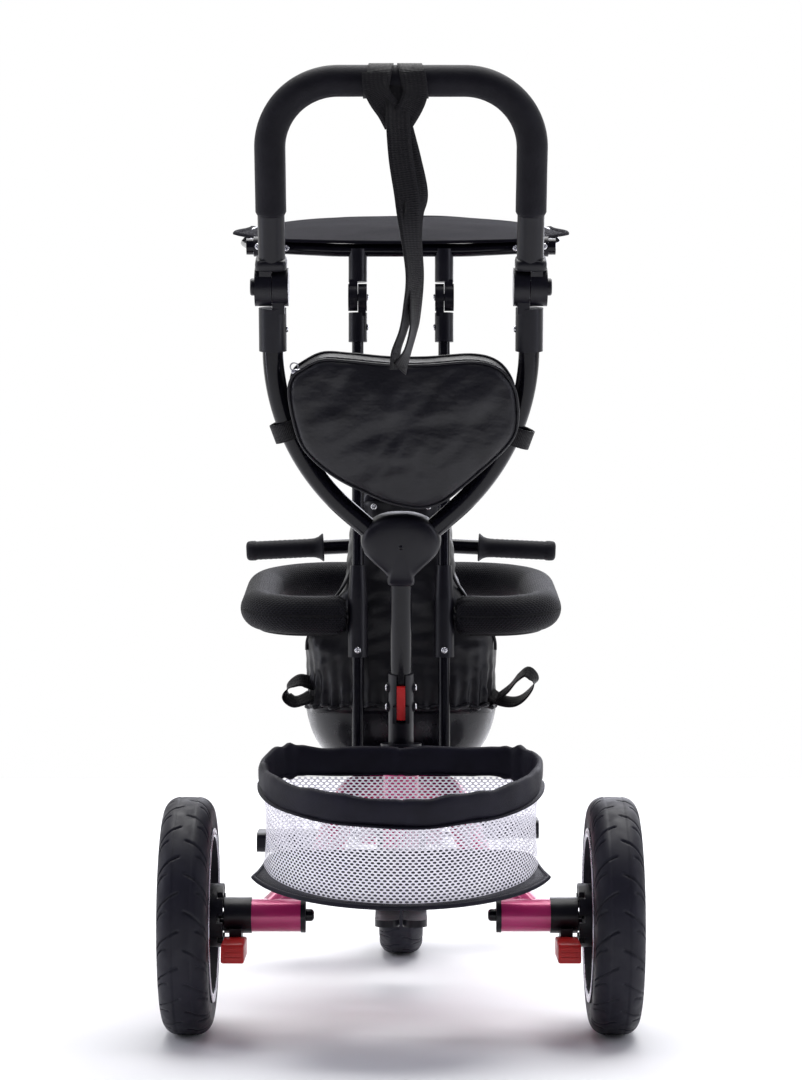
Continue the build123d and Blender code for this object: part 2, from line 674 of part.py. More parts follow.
# ---- safety ring --------------------------------------------------------------------------------
def ring_foam():
    start = RING_END_X1 + 0.5
    y0, y1 = at(RING_Y), at(RING_FRONT_Y)
    points = [(start, y0, RING_Z), (RING_X, y0, RING_Z), (RING_X, y1, RING_FRONT_Z),
              (-RING_X, y1, RING_FRONT_Z), (-RING_X, y0, RING_Z), (-start, y0, RING_Z)]
    return bent_rod(points, [55, 85, 85, 55], RING_FOAM_R)


def ring_end(side):
    shape = cyl_x(RING_FOAM_R - 3, side * RING_END_X0, side * RING_END_X1, at(RING_Y), RING_Z)
    return shape - cyl_x(RING_PIN_R + RUN_FIT, side * (RING_END_X0 - 1), side * (RING_END_X1 - 1.5),
                         at(RING_Y), RING_Z)


# ---- footrest -----------------------------------------------------------------------------------
FOOT_PIN_Y = 352
FOOT_PIN_X = 16
FOOT_Z, FOOT_T = 81, 8
FOOT_W, FOOT_L = 28, 112
FOOT_PIN_R = 4
FOOT_BLOCK_T = 12


def footrest_bracket():
    """Hanger under the frame with the two upright pins that the foot plates swing on."""
    base = FOOT_Z + FOOT_T + FACE_GAP
    y = at(FOOT_PIN_Y)
    shape = box(-32, 32, y - 16, y + 16, base, base + FOOT_BLOCK_T)
    shape = fillet(shape.edges().filter_by(Axis.Z), 12)
    shape += box(-10, 10, y - 14, y + 14, base + FOOT_BLOCK_T, MAIN_TUBE_Z)
    for side in (-1, 1):
        shape += cyl_z(FOOT_PIN_R, FOOT_Z, base, side * FOOT_PIN_X, y)
    path = [(0, at(MAIN_TUBE_END - 60), MAIN_TUBE_Z), (0, at(DOWN_CORNER), MAIN_TUBE_Z),
            (0, at(DOWN_CORNER) + 60, MAIN_TUBE_Z + 85)]
    return shape - bent_rod(path, [DOWN_BEND], FRAME_TUBE_R + SEAT_FIT)


def footrest(side):
    """Foot plate, folded back beside its neighbour."""
    x, y = side * FOOT_PIN_X, at(FOOT_PIN_Y)
    half = FOOT_W / 2
    plate = cyl_z(half, FOOT_Z, FOOT_Z + FOOT_T, x, y) + cyl_z(half, FOOT_Z, FOOT_Z + FOOT_T, x, y - FOOT_L)
    plate += box(x - half, x + half, y - FOOT_L, y, FOOT_Z, FOOT_Z + FOOT_T)
    return plate - cyl_z(FOOT_PIN_R + RUN_FIT, FOOT_Z - 1, FOOT_Z + FOOT_T + 1, x, y)


# ---- basket -------------------------------------------------------------------------------------
def basket_outline(inset):
    """D-shaped plan: straight at the front, round at the rear, about the basket's own middle."""
    front, rear, half = BASKET_HALF_LEN - inset, -BASKET_HALF_LEN + inset, BASKET_HALF - inset
    knee = BASKET_HALF_LEN - 95
    corner = 28 - inset / 2
    line = Polyline((half, knee), (half, front), (-half, front), (-half, knee))
    arc = ThreePointArc((-half, knee), (0, rear), (half, knee))
    face = make_face([line, arc])
    tips = face.vertices().group_by(Axis.Y)[-1]
    return fillet(tips, corner)


def basket_rim():
    low = BASKET_H - RIM_BAND_H
    shape = extrude(Pos(0, 0, low) * basket_outline(0), RIM_BAND_H)
    return on_basket(shape - extrude(Pos(0, 0, low - 1) * basket_outline(RIM_BAND_T), RIM_BAND_H + 2))


def basket_net():
    high = BASKET_H - RIM_BAND_H - FACE_GAP
    shape = extrude(Pos(0, 0, FLOOR_T) * basket_outline(3), high - FLOOR_T)
    return on_basket(shape - extrude(Pos(0, 0, FLOOR_T - 1) * basket_outline(3 + NET_T), high))


def basket_floor():
    return on_basket(extrude(basket_outline(0), FLOOR_T - FACE_GAP))


# ---- push handle --------------------------------------------------------------------------------
SOCKET_LOW, SOCKET_HIGH = -45, 37
SOCKET_WALL_R = 13.6
LEVER_PIN_S = -8
LEVER_PIN_BACK = 15
LEVER_PIN_R = 2
LEVER_HALF = 4.5


def handle_socket():
    """Collar on the upright with the leaning socket, bolt bosses and the latch's cheeks."""
    y = at(UPRIGHT_Y)
    tube = on_handle(cyl_z(SOCKET_WALL_R, SOCKET_LOW, SOCKET_HIGH))
    for s in (0, 21):
        tube += on_handle(cyl_x(6, -15, 15, 0, s))
    cheeks = on_handle(box(-9, 9, -LEVER_PIN_BACK - 4, 0, LEVER_PIN_S - 6, LEVER_PIN_S + 12))
    collar = cyl_z(FRAME_TUBE_R + 3, UPRIGHT_TOP - 8, UPRIGHT_TOP + 14, 0, y)
    shape = tube + cheeks + collar
    shape -= cyl_z(FRAME_TUBE_R + SEAT_FIT, UPRIGHT_TOP - 20, UPRIGHT_TOP + SEAT_FIT, 0, y)
    shape -= on_handle(cyl_z(STEM_R + RUN_FIT, SOCKET_LOW + 3, SOCKET_HIGH + 1))
    slot = LEVER_HALF + FACE_GAP
    shape -= on_handle(box(-slot, slot, -40, 0, LEVER_PIN_S - 7, SOCKET_HIGH + 1))
    return shape + on_handle(cyl_x(LEVER_PIN_R, -9, 9, -LEVER_PIN_BACK, LEVER_PIN_S))


def latch_lever():
    """Red release lever in the socket's rear slot, hinged at its foot."""
    y0, y1 = -LEVER_PIN_BACK - 2.8, -STEM_R - 0.6
    lever = box(-LEVER_HALF, LEVER_HALF, y0, y1, LEVER_PIN_S - 3, 26)
    lever = fillet(lever.edges().filter_by(Axis.X), 1.4)
    return on_handle(lever - cyl_x(LEVER_PIN_R + RUN_FIT, -10, 10, -LEVER_PIN_BACK, LEVER_PIN_S))


STEM_LOW, STEM_HIGH = -40, 150


def handle_stem():
    return on_handle(cyl_z(STEM_R, STEM_LOW, STEM_HIGH) - cyl_z(STEM_R - 1.5, STEM_LOW - 1, STEM_HIGH + 1))


ARM_ROOT_X, ARM_ROOT_S = 24, 186
ARM_CORNER_S = 283
ARM_END_S = 402


def arm_path():
    return [(ARM_ROOT_X, 0, ARM_ROOT_S), (ARM_X, 0, ARM_CORNER_S), (ARM_X, 0, ARM_END_S)]


def handle_arm(side):
    points = [(side * x, y, s) for x, y, s in arm_path()]
    return on_handle(bent_tube(points, [ARM_BEND], ARM_R, 1.5))


def handle_junction():
    """Shield-shaped joint that takes the stem from below and the two arms from above."""
    outline = make_face(Polyline((-13, 134), (13, 134), (44, 178), (40, 202), (16, 213),
                                 (-16, 213), (-40, 202), (-44, 178), close=True))
    outline = fillet(outline.vertices(), 7)
    plane = Plane(origin=(0, 15, 0), x_dir=(1, 0, 0), z_dir=(0, -1, 0))
    shape = extrude(plane * outline, 30)
    shape = fillet(shape.edges().group_by(Axis.Y)[0], 4)
    shape -= cyl_z(STEM_R + SEAT_FIT, 100, STEM_HIGH + SEAT_FIT)
    for side in (-1, 1):
        points = [(side * x, y, s) for x, y, s in arm_path()]
        shape -= bent_rod(points, [ARM_BEND], ARM_R + SEAT_FIT)
    return on_handle(shape)


JOINT_X0, JOINT_SPLIT, JOINT_X1 = 117, 134, 152
JOINT_PIN_R = 6
BUTTON_R = 9
BUTTON_X0, BUTTON_X1 = 146.5, 157


def joint_base(side):
    """Sleeve on the arm's end with the inner half of the fold joint and its pin."""
    shape = cyl_z(14.5, 385, JOINT_S - JOINT_R - 2, side * ARM_X)
    shape += box(side * (JOINT_X0 + 4), side * (JOINT_SPLIT - FACE_GAP), -13, 13, JOINT_S - 27, JOINT_S)
    shape += cyl_x(JOINT_R, side * JOINT_X0, side * (JOINT_SPLIT - FACE_GAP), 0, JOINT_S)
    shape += cyl_x(JOINT_PIN_R, side * (JOINT_SPLIT - 1), side * (BUTTON_X0 - 6), 0, JOINT_S)
    return on_handle(shape - cyl_z(ARM_R + SEAT_FIT, 380, ARM_END_S + SEAT_FIT, side * ARM_X))


LOOP_SLEEVE_LOW, LOOP_SLEEVE_HIGH = 24, 78


def loop_joint(side):
    """Outer half of the fold joint with the sleeve that takes the loop's tube."""
    x0, x1 = side * (JOINT_SPLIT + FACE_GAP), side * JOINT_X1
    shape = cyl_x(JOINT_R, x0, x1) + box(x0, side * (ARM_X + 13), -13, 13, 0, 32)
    shape += cyl_z(14, LOOP_SLEEVE_LOW, LOOP_SLEEVE_HIGH, side * ARM_X)
    shape -= cyl_x(JOINT_PIN_R + RUN_FIT, 0, side * (BUTTON_X0 - 5.5))
    shape -= cyl_x(BUTTON_R + RUN_FIT, side * (BUTTON_X0 - 5), side * (JOINT_X1 + 1))
    return on_loop(shape - cyl_z(ARM_R + SEAT_FIT, LOOP_TUBE_LOW, 100, side * ARM_X))


LOOP_TUBE_LOW = 34


def loop_path(low):
    return [(ARM_X, 0, low), (ARM_X, 0, LOOP_H), (-ARM_X, 0, LOOP_H), (-ARM_X, 0, low)]


def loop_tube():
    return on_loop(bent_tube(loop_path(LOOP_TUBE_LOW + SEAT_FIT), [LOOP_BEND] * 2, ARM_R, 1.5))


def loop_foam():
    path = loop_path(LOOP_SLEEVE_HIGH + FACE_GAP)
    bends = [LOOP_BEND] * 2
    return on_loop(bent_rod(path, bends, FOAM_R) - bent_rod(path, bends, ARM_R + SEAT_FIT))


def joint_button(side):
    button = cyl_x(BUTTON_R, side * BUTTON_X0, side * BUTTON_X1)
    outer = button.edges().sort_by(Axis.X)[-1 if side > 0 else 0]
    return on_loop(fillet(outer, 2))


STRAP_LOW = 692
STRAP_X = 10


def wrist_strap():
    """Webbing loop: two turns round the bar and a doubled strap that hangs behind it."""
    turns = []
    for x in (-24, 14):
        wrap = cyl_x(FOAM_R + WEB_T, x - WEB_W / 2, x + WEB_W / 2, 0, LOOP_H)
        turns.append(on_loop(wrap - cyl_x(FOAM_R + FACE_GAP, x - 20, x + 20, 0, LOOP_H)))
    bar_y = JOINT_Y - LOOP_H * math.sin(math.radians(LOOP_LEAN))
    bar_z = JOINT_Z + LOOP_H * math.cos(math.radians(LOOP_LEAN))
    back = bar_y - FOAM_R - WEB_T - FACE_GAP
    hang = box(STRAP_X - WEB_W / 2, STRAP_X + WEB_W / 2, back - 2 * WEB_T, back, STRAP_LOW, bar_z)
    return Compound(children=turns + [hang])


def bag():
    """Small nylon bag between the arms."""
    right = [(118, 376), (117, 354), (105, 313), (88, 282), (70, 254), (40, 236), (0, 230)]
    left = [(-x, s) for x, s in reversed(right[:-1])]
    outline = make_face(Polyline(*(right + left), close=True))
    plane = Plane(origin=(0, BAG_T / 2, 0), x_dir=(1, 0, 0), z_dir=(0, -1, 0))
    shape = extrude(plane * outline, BAG_T)
    return on_handle(fillet(shape.edges().group_by(Axis.Y)[0] + shape.edges().group_by(Axis.Y)[-1], 8))


# ---- fasteners ----------------------------------------------------------------------------------
SCREW_R = 4
SCREW_T = 3


def frame_screws():
    """Screw heads: one behind each post sleeve and two on each side of the handle socket."""
    heads = []
    for side in (-1, 1):
        y = at(POST_Y) - SLEEVE_R
        heads.append(cyl_y(SCREW_R, y - SCREW_T, y, side * POST_X, SLEEVE_LOW + 8))
        for s in (0, 21):
            heads.append(on_handle(cyl_x(SCREW_R, side * 15, side * (15 + SCREW_T), 0, s)))
    return Compound(children=heads)


# ---- output -------------------------------------------------------------------------------------
NODES = {
    "left_tyre": lambda: rear_tyre(-1),
    "right_tyre": lambda: rear_tyre(1),
    "left_rim": lambda: rear_rim(-1),
    "right_rim": lambda: rear_rim(1),
    "left_hub_drum": lambda: hub_drum(-1),
    "right_hub_drum": lambda: hub_drum(1),
    "front_tyre": front_tyre,
    "front_rim": front_rim,
    "crankset": crankset,
    "left_pedal": lambda: pedal(-1),
    "right_pedal": lambda: pedal(1),
    "rear_upright": rear_upright,
    "main_tube": main_tube,
    "down_tube": down_tube,
    "left_axle_arm": lambda: axle_arm(-1),
    "right_axle_arm": lambda: axle_arm(1),
    "axle_end_caps": lambda: both_sides(axle_end_cap),
    "rear_axles": lambda: both_sides(rear_axle),
    "brake_housings": lambda: both_sides(brake_housing),
    "left_brake_pedal": lambda: brake_pedal(-1),
    "right_brake_pedal": lambda: brake_pedal(1),
    "fork": fork,
    "handlebar": handlebar,
    "bar_clamp": bar_clamp,
    "handlebar_grips": lambda: both_sides(grip),
    "seat_carrier": seat_carrier,
    "seat_shell": seat_shell,
    "seat_cover": seat_cover,
    "harness_straps": harness_straps,
    "canopy_posts": lambda: both_sides(canopy_post),
    "post_sleeves": lambda: both_sides(post_sleeve),
    "canopy_rods": lambda: both_sides(canopy_rod),
    "rod_heads": lambda: both_sides(rod_head),
    "canopy_joints": canopy_joints,
    "rear_bow": rear_bow,
    "canopy_hoop": canopy_hoop,
    "canopy_cover": canopy_cover,
    "ring_foam": ring_foam,
    "ring_ends": lambda: both_sides(ring_end),
    "footrest_bracket": footrest_bracket,
    "left_footrest": lambda: footrest(-1),
    "right_footrest": lambda: footrest(1),
    "basket_rim": basket_rim,
    "basket_net": basket_net,
    "basket_floor": basket_floor,
    "handle_socket": handle_socket,
    "latch_lever": latch_lever,
    "handle_stem": handle_stem,
    "handle_arms": lambda: both_sides(handle_arm),
    "handle_junction": handle_junction,
    "joint_bases": lambda: both_sides(joint_base),
    "loop_joints": lambda: both_sides(loop_joint),
    "loop_tube": loop_tube,
    "loop_foam": loop_foam,
    "left_button": lambda: joint_button(-1),
    "right_button": lambda: joint_button(1),
    "wrist_strap": wrist_strap,
    "bag": bag,
    "frame_screws": frame_screws,
}

os.makedirs("parts", exist_ok=True)
for name, make in NODES.items():
    export_step(make(), f"parts/{name}.step")
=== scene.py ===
import json
import math

import bpy
from mathutils import Matrix, Vector, noise


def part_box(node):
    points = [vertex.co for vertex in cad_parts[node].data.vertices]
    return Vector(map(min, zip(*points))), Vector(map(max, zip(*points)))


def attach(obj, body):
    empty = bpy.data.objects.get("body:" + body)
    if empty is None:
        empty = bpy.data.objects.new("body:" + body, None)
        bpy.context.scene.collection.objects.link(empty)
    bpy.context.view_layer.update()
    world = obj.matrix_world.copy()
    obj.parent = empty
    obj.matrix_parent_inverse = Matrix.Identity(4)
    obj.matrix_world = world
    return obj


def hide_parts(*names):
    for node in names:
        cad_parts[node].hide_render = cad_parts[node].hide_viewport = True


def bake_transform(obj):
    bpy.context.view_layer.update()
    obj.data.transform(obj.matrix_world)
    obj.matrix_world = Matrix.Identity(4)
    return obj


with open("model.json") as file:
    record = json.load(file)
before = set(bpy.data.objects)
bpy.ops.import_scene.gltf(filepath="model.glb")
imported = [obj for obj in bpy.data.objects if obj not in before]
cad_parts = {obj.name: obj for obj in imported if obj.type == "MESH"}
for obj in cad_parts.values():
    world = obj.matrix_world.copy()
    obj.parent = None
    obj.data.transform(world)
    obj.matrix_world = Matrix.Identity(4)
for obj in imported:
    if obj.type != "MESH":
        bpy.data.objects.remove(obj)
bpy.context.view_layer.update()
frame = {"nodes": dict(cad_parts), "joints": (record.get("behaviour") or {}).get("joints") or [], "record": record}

MM = 0.001
TAU = 2 * math.pi

# ---- places taken from the frame ----------------------------------------------------------------
JOINTS = {j["name"]: j for j in frame["joints"]}


def joint_place(name):
    return Vector(JOINTS[name]["pos_m"])


REAR_AXLE = joint_place("right_wheel_spin")
FRONT_AXLE = joint_place("front_wheel_spin")
HANDLE_LEAN, LOOP_LEAN, CANOPY_TILT, BASKET_TILT = (math.radians(a) for a in (12, 23, 10, 9))
HANDLE_PIVOT_Z = 344 * MM


def at(y):
    """Y of a place y millimetres ahead of the rear axle."""
    return REAR_AXLE.y + y * MM


def leaning(place, angle):
    return Matrix.Translation(place) @ Matrix.Rotation(angle, 4, "X")


HANDLE = leaning(Vector((0, at(40), HANDLE_PIVOT_Z)), HANDLE_LEAN)
LOOP = leaning(joint_place("loop_fold"), LOOP_LEAN)
CANOPY = leaning(joint_place("hoop_fold"), CANOPY_TILT)
BASKET = leaning(Vector((0, at(-110), 174 * MM)), BASKET_TILT)


# ---- camera, light and floor --------------------------------------------------------------------
LENS = 94.3                 # mm, on a 36 mm wide sensor
CAMERA_BACK = 3.0           # behind the rear axle
EYE_HEIGHT = 0.517


def make_camera():
    data = bpy.data.cameras.new("camera")
    data.lens = LENS
    data.sensor_width = 36
    data.shift_y = 0.005
    camera = bpy.data.objects.new("camera", data)
    camera.location = (0, REAR_AXLE.y - CAMERA_BACK, EYE_HEIGHT)
    camera.rotation_euler = (math.radians(90), 0, 0)
    bpy.context.scene.collection.objects.link(camera)
    bpy.context.scene.camera = camera


def area_light(name, place, target, size, power, color=(0.86, 0.87, 1)):
    data = bpy.data.lights.new(name, "AREA")
    data.shape = "RECTANGLE"
    data.size, data.size_y = size
    data.energy = power
    data.color = color
    light = bpy.data.objects.new(name, data)
    light.location = place
    direction = Vector(target) - Vector(place)
    light.rotation_euler = direction.to_track_quat("-Z", "Y").to_euler()
    bpy.context.scene.collection.objects.link(light)


def make_studio():
    middle = (0, 0, 0.5)
    area_light("key", (-2.4, -2.2, 2.8), middle, (1.0, 1.0), 9)
    area_light("side", (2.6, -1.2, 1.3), middle, (0.35, 2.2), 15)
    area_light("left_strip", (-2.5, -0.3, 1.0), middle, (0.35, 2.2), 12)
    area_light("top", (0.2, 0.9, 3.6), (0, 0.2, 0), (3.4, 3.0), 150, (1, 1, 1))
    area_light("back", (1.0, 3.4, 1.8), middle, (3.0, 1.8), 45)
    world = bpy.data.worlds.new("studio")
    world.use_nodes = True
    tree = world.node_tree
    background = tree.nodes["Background"]
    background.inputs["Strength"].default_value = 1.0
    coords = tree.nodes.new("ShaderNodeTexCoord")
    split = tree.nodes.new("ShaderNodeSeparateXYZ")
    ramp = tree.nodes.new("ShaderNodeValToRGB")
    ramp.color_ramp.interpolation = "EASE"
    ramp.color_ramp.elements[0].position = 0.25
    ramp.color_ramp.elements[0].color = (0.085, 0.085, 0.115, 1)
    ramp.color_ramp.elements[1].position = 0.85
    ramp.color_ramp.elements[1].color = (1, 1, 1, 1)
    shift = tree.nodes.new("ShaderNodeMath")
    shift.operation = "MULTIPLY_ADD"
    shift.inputs[1].default_value = 0.5
    shift.inputs[2].default_value = 0.5
    tree.links.new(coords.outputs["Generated"], split.inputs[0])
    tree.links.new(split.outputs["Y"], shift.inputs[0])
    tree.links.new(shift.outputs[0], ramp.inputs["Fac"])
    tree.links.new(ramp.outputs["Color"], background.inputs["Color"])
    bpy.context.scene.world = world
    bpy.context.scene.view_settings.view_transform = "Standard"


def make_floor():
    size = 3.0
    data = bpy.data.meshes.new("floor")
    corners = [(-size, -size, 0), (size, -size, 0), (size, size, 0), (-size, size, 0)]
    data.from_pydata(corners, [], [(0, 1, 2, 3)])
    floor = bpy.data.objects.new("floor", data)
    floor.location.z = -0.0005
    bpy.context.scene.collection.objects.link(floor)
    data.materials.append(MATERIALS["floor"])


# ---- materials ----------------------------------------------------------------------------------
class Finish:
    """A Principled material with short ways to add procedural detail to it."""

    def __init__(self, name, color, rough=0.5, metal=0.0, coat=0.0, sheen=0.0, specular=0.5):
        self.material = bpy.data.materials.new(name)
        self.material.use_nodes = True
        self.tree = self.material.node_tree
        self.shader = self.tree.nodes["Principled BSDF"]
        self.color = color
        self.rough = rough
        self.shader.inputs["Base Color"].default_value = (*color, 1)
        self.shader.inputs["Roughness"].default_value = rough
        self.shader.inputs["Metallic"].default_value = metal
        self.shader.inputs["Coat Weight"].default_value = coat
        self.shader.inputs["Coat Roughness"].default_value = 0.08
        self.shader.inputs["Sheen Weight"].default_value = sheen
        self.shader.inputs["Sheen Roughness"].default_value = 0.4
        self.shader.inputs["Specular IOR Level"].default_value = specular
        self.coords = self.tree.nodes.new("ShaderNodeTexCoord")
        self.normal = None

    def node(self, kind, **settings):
        made = self.tree.nodes.new(kind)
        for key, value in settings.items():
            setattr(made, key, value)
        return made

    def link(self, source, target):
        self.tree.links.new(source, target)

    def math(self, operation, first, second=0.0, third=0.0):
        made = self.node("ShaderNodeMath", operation=operation)
        for socket, value in zip(made.inputs, (first, second, third)):
            if isinstance(value, (int, float)):
                socket.default_value = value
            else:
                self.link(value, socket)
        return made.outputs[0]

    def noise(self, scale, detail=3.0, stretch=None, source="Object"):
        texture = self.node("ShaderNodeTexNoise")
        texture.inputs["Scale"].default_value = scale
        texture.inputs["Detail"].default_value = detail
        coords = self.coords.outputs[source]
        if stretch:
            mapping = self.node("ShaderNodeMapping")
            mapping.inputs["Scale"].default_value = stretch
            self.link(coords, mapping.inputs["Vector"])
            coords = mapping.outputs[0]
        self.link(coords, texture.inputs["Vector"])
        return texture.outputs["Fac"]

    def between(self, value, low, high, start=0.0, end=1.0):
        made = self.node("ShaderNodeMapRange")
        made.inputs["From Min"].default_value = start
        made.inputs["From Max"].default_value = end
        made.inputs["To Min"].default_value = low
        made.inputs["To Max"].default_value = high
        self.link(value, made.inputs["Value"])
        return made.outputs[0]

    def tint(self, factor, other):
        """Base colour runs from the finish's own colour to the other one."""
        mix = self.node("ShaderNodeMix", data_type="RGBA")
        mix.inputs["A"].default_value = (*self.color, 1)
        mix.inputs["B"].default_value = (*other, 1)
        self.link(factor, mix.inputs["Factor"])
        self.link(mix.outputs["Result"], self.shader.inputs["Base Color"])
        return self

    def vary_rough(self, value, spread):
        low, high = max(0.02, self.rough - spread), min(1.0, self.rough + spread)
        self.link(self.between(value, low, high, 0.3, 0.7), self.shader.inputs["Roughness"])
        return self

    def bump(self, height, distance, strength=1.0):
        made = self.node("ShaderNodeBump")
        made.inputs["Distance"].default_value = distance
        made.inputs["Strength"].default_value = strength
        self.link(height, made.inputs["Height"])
        if self.normal:
            self.link(self.normal, made.inputs["Normal"])
        self.normal = made.outputs[0]
        self.link(self.normal, self.shader.inputs["Normal"])
        return self

    def axes(self, source="Object"):
        split = self.node("ShaderNodeSeparateXYZ")
        self.link(self.coords.outputs[source], split.inputs[0])
        return split.outputs

    def wave(self, value, period):
        """A sine of the value with the given period, from 0 to 1."""
        turned = self.math("SINE", self.math("MULTIPLY", value, TAU / period))
        return self.between(turned, 0.0, 1.0, -1.0, 1.0)

    def weave(self, period, source="Object"):
        """Over and under threads of a plain weave, from three crossing waves in 3-D or two in UV."""
        x, y, z = self.axes(source)
        if source == "UV":
            return self.math("MULTIPLY", self.wave(x, period), self.wave(y, period))
        slant = self.math("ADD", x, y)
        return self.math("MULTIPLY", self.wave(slant, period), self.wave(z, period))

    def hex_dots(self, pitch, row, size):
        """Staggered oval holes in UV metres: 1 in a hole, 0 on the thread."""
        u, v, _ = self.axes("UV")
        best = None
        for offset in (0.0, 0.5):
            a = self.math("ADD", self.math("DIVIDE", u, pitch), offset)
            b = self.math("ADD", self.math("DIVIDE", v, 2 * row), offset)
            a = self.math("MULTIPLY", self.math("SUBTRACT", self.math("FRACT", a), 0.5), pitch)
            b = self.math("MULTIPLY", self.math("SUBTRACT", self.math("FRACT", b), 0.5), 2 * row)
            square = self.math("ADD", self.math("MULTIPLY", a, a), self.math("MULTIPLY", b, b))
            away = self.math("SQRT", square)
            best = away if best is None else self.math("MINIMUM", best, away)
        return self.between(best, 1.0, 0.0, size * 0.75, size * 1.15)


def plastic(name, color, rough=0.42, grain=0.00006, coat=0.0):
    made = Finish(name, color, rough, coat=coat, specular=0.35)
    made.tint(made.between(made.noise(9), 0, 1, 0.35, 0.75), tuple(c * 1.6 + 0.0005 for c in color))
    made.vary_rough(made.noise(60, 4), 0.07)
    made.bump(made.noise(1500, 2), grain)
    return made


def cloth(name, color, rough, period, depth, sheen=0.25, wrinkle=0.0, specular=0.2):
    made = Finish(name, color, rough, sheen=sheen * 0.1, specular=specular)
    made.tint(made.between(made.noise(30, 5), 0, 1, 0.3, 0.75), tuple(c * 1.8 + 0.001 for c in color))
    if wrinkle:
        made.bump(made.noise(28, 3, stretch=(1, 1, 1.8)), wrinkle)
    made.bump(made.weave(period), depth)
    return made


def make_materials():
    made = {}
    pink = Finish("pink_paint", (0.52, 0.018, 0.145), 0.3, metal=0.25, coat=0.7)
    pink.tint(pink.between(pink.noise(14), 0, 1, 0.35, 0.7), (0.60, 0.030, 0.19))
    pink.bump(pink.noise(500, 2), 0.00004)
    made["pink_paint"] = pink
    black = Finish("black_paint", (0.0022, 0.002, 0.0045), 0.16, coat=0.1, specular=0.25)
    black.tint(black.between(black.noise(10), 0, 1, 0.35, 0.7), (0.004, 0.0037, 0.007))
    black.vary_rough(black.noise(80, 4), 0.05)
    black.bump(black.noise(420, 2), 0.00004)
    made["black_paint"] = black
    made["black_plastic"] = plastic("black_plastic", (0.004, 0.0037, 0.007), 0.36)
    made["rim_plastic"] = plastic("rim_plastic", (0.007, 0.0065, 0.011), 0.42)
    made["seat_plastic"] = plastic("seat_plastic", (0.004, 0.0037, 0.0065), 0.3, 0.00002, coat=0.15)
    made["red_plastic"] = plastic("red_plastic", (0.52, 0.012, 0.012), 0.34, 0.00005)
    tyre = Finish("tyre_rubber", (0.0075, 0.007, 0.0135), 0.52, specular=0.3)
    tyre.tint(tyre.between(tyre.noise(22, 5), 0, 1, 0.3, 0.75), (0.013, 0.0125, 0.022))
    tyre.vary_rough(tyre.noise(90, 4), 0.1)
    tyre.bump(tyre.noise(1100, 3), 0.0001)
    made["tyre"] = tyre
    steel = Finish("zinc_steel", (0.42, 0.42, 0.45), 0.3, metal=1.0)
    steel.vary_rough(steel.noise(220, 3, stretch=(1, 9, 9)), 0.08)
    steel.bump(steel.noise(900, 2, stretch=(1, 6, 6)), 0.00003)
    made["steel"] = steel
    chrome = Finish("chrome", (0.78, 0.78, 0.8), 0.1, metal=1.0)
    chrome.vary_rough(chrome.noise(150, 3), 0.05)
    made["chrome"] = chrome
    silver = Finish("silver_edge", (0.5, 0.49, 0.56), 0.28, metal=0.9, coat=0.2)
    silver.vary_rough(silver.noise(70, 3), 0.08)
    made["silver"] = silver
    foam = Finish("foam", (0.005, 0.0046, 0.008), 0.6, sheen=0.03, specular=0.18)
    cells = foam.node("ShaderNodeTexVoronoi", feature="F1")
    cells.inputs["Scale"].default_value = 900
    foam.link(foam.coords.outputs["Object"], cells.inputs["Vector"])
    foam.tint(foam.between(foam.noise(40, 5), 0, 1, 0.3, 0.75), (0.011, 0.0105, 0.015))
    foam.bump(cells.outputs["Distance"], 0.00022)
    made["foam"] = foam
    knit = Finish("knit_mesh", (0.006, 0.0056, 0.0095), 0.62, sheen=0.03, specular=0.15)
    holes = knit.hex_dots(0.0036, 0.0026, 0.0011)
    # painted shade: the holes are real, but tinting them darker than the thread paints the shade that falls into
    # them
    knit.tint(holes, (0.0015, 0.0014, 0.002))
    knit.bump(holes, -0.0007)
    made["mesh_foam"] = knit
    web = Finish("webbing", (0.004, 0.0035, 0.005), 0.55, sheen=0.03, specular=0.3)
    u, v, _ = web.axes("UV")
    ribs = web.math("MULTIPLY", web.wave(u, 0.0017), web.between(web.wave(v, 0.0042), 0.45, 1.0))
    # painted shade: the same mask that raises the ribs also tints them, so the rib crests are lighter and the
    # grooves between them carry painted shade
    web.tint(ribs, (0.010, 0.009, 0.0105))
    web.bump(ribs, 0.00045)
    made["webbing"] = web
    made["canopy_cloth"] = cloth("canopy_cloth", (0.0045, 0.0042, 0.007), 0.8, 0.0011, 0.0001, 0.1,
                                 specular=0.05)
    made["seat_cloth"] = cloth("seat_cloth", (0.005, 0.0047, 0.0065), 0.34, 0.0009, 0.00007, 0.2, 0.0012, 0.4)
    made["band_cloth"] = cloth("band_cloth", (0.0058, 0.0053, 0.0115), 0.55, 0.0010, 0.0001, 0.3, 0.0008)
    bag = cloth("bag_cloth", (0.006, 0.0057, 0.008), 0.36, 0.0008, 0.00006, 0.2, 0.0022, 0.4)
    made["bag_cloth"] = bag
    net = Finish("net_thread", (0.80, 0.78, 0.86), 0.7, sheen=0.2)
    net.tint(net.between(net.noise(18, 3), 0, 1, 0.35, 0.7), (0.88, 0.87, 0.92))
    net.bump(net.weave(0.0006, "UV"), 0.0001)
    # painted light: a weak white emission makes the net glow, standing in for the light of the white studio
    # shining through it from behind
    net.shader.inputs["Emission Color"].default_value = (0.92, 0.9, 1, 1)
    net.shader.inputs["Emission Strength"].default_value = 0.3
    made["net"] = net
    floor = Finish("floor", (0.93, 0.93, 0.94), 0.85, specular=0.1)
    made["floor"] = floor
    return {name: finish.material for name, finish in made.items()}


MATERIALS = make_materials()


def paint_frame():
    """Gives every CAD node the material of its slot, except the rear axles, which get the black paint."""
    for part in frame["record"]["subparts"]:
        node = frame["nodes"][part["node"]]
        data = node.data
        data.materials.clear()
        dark = part["node"] == "rear_axles"
        data.materials.append(MATERIALS["black_paint" if dark else part["material_slot"]])


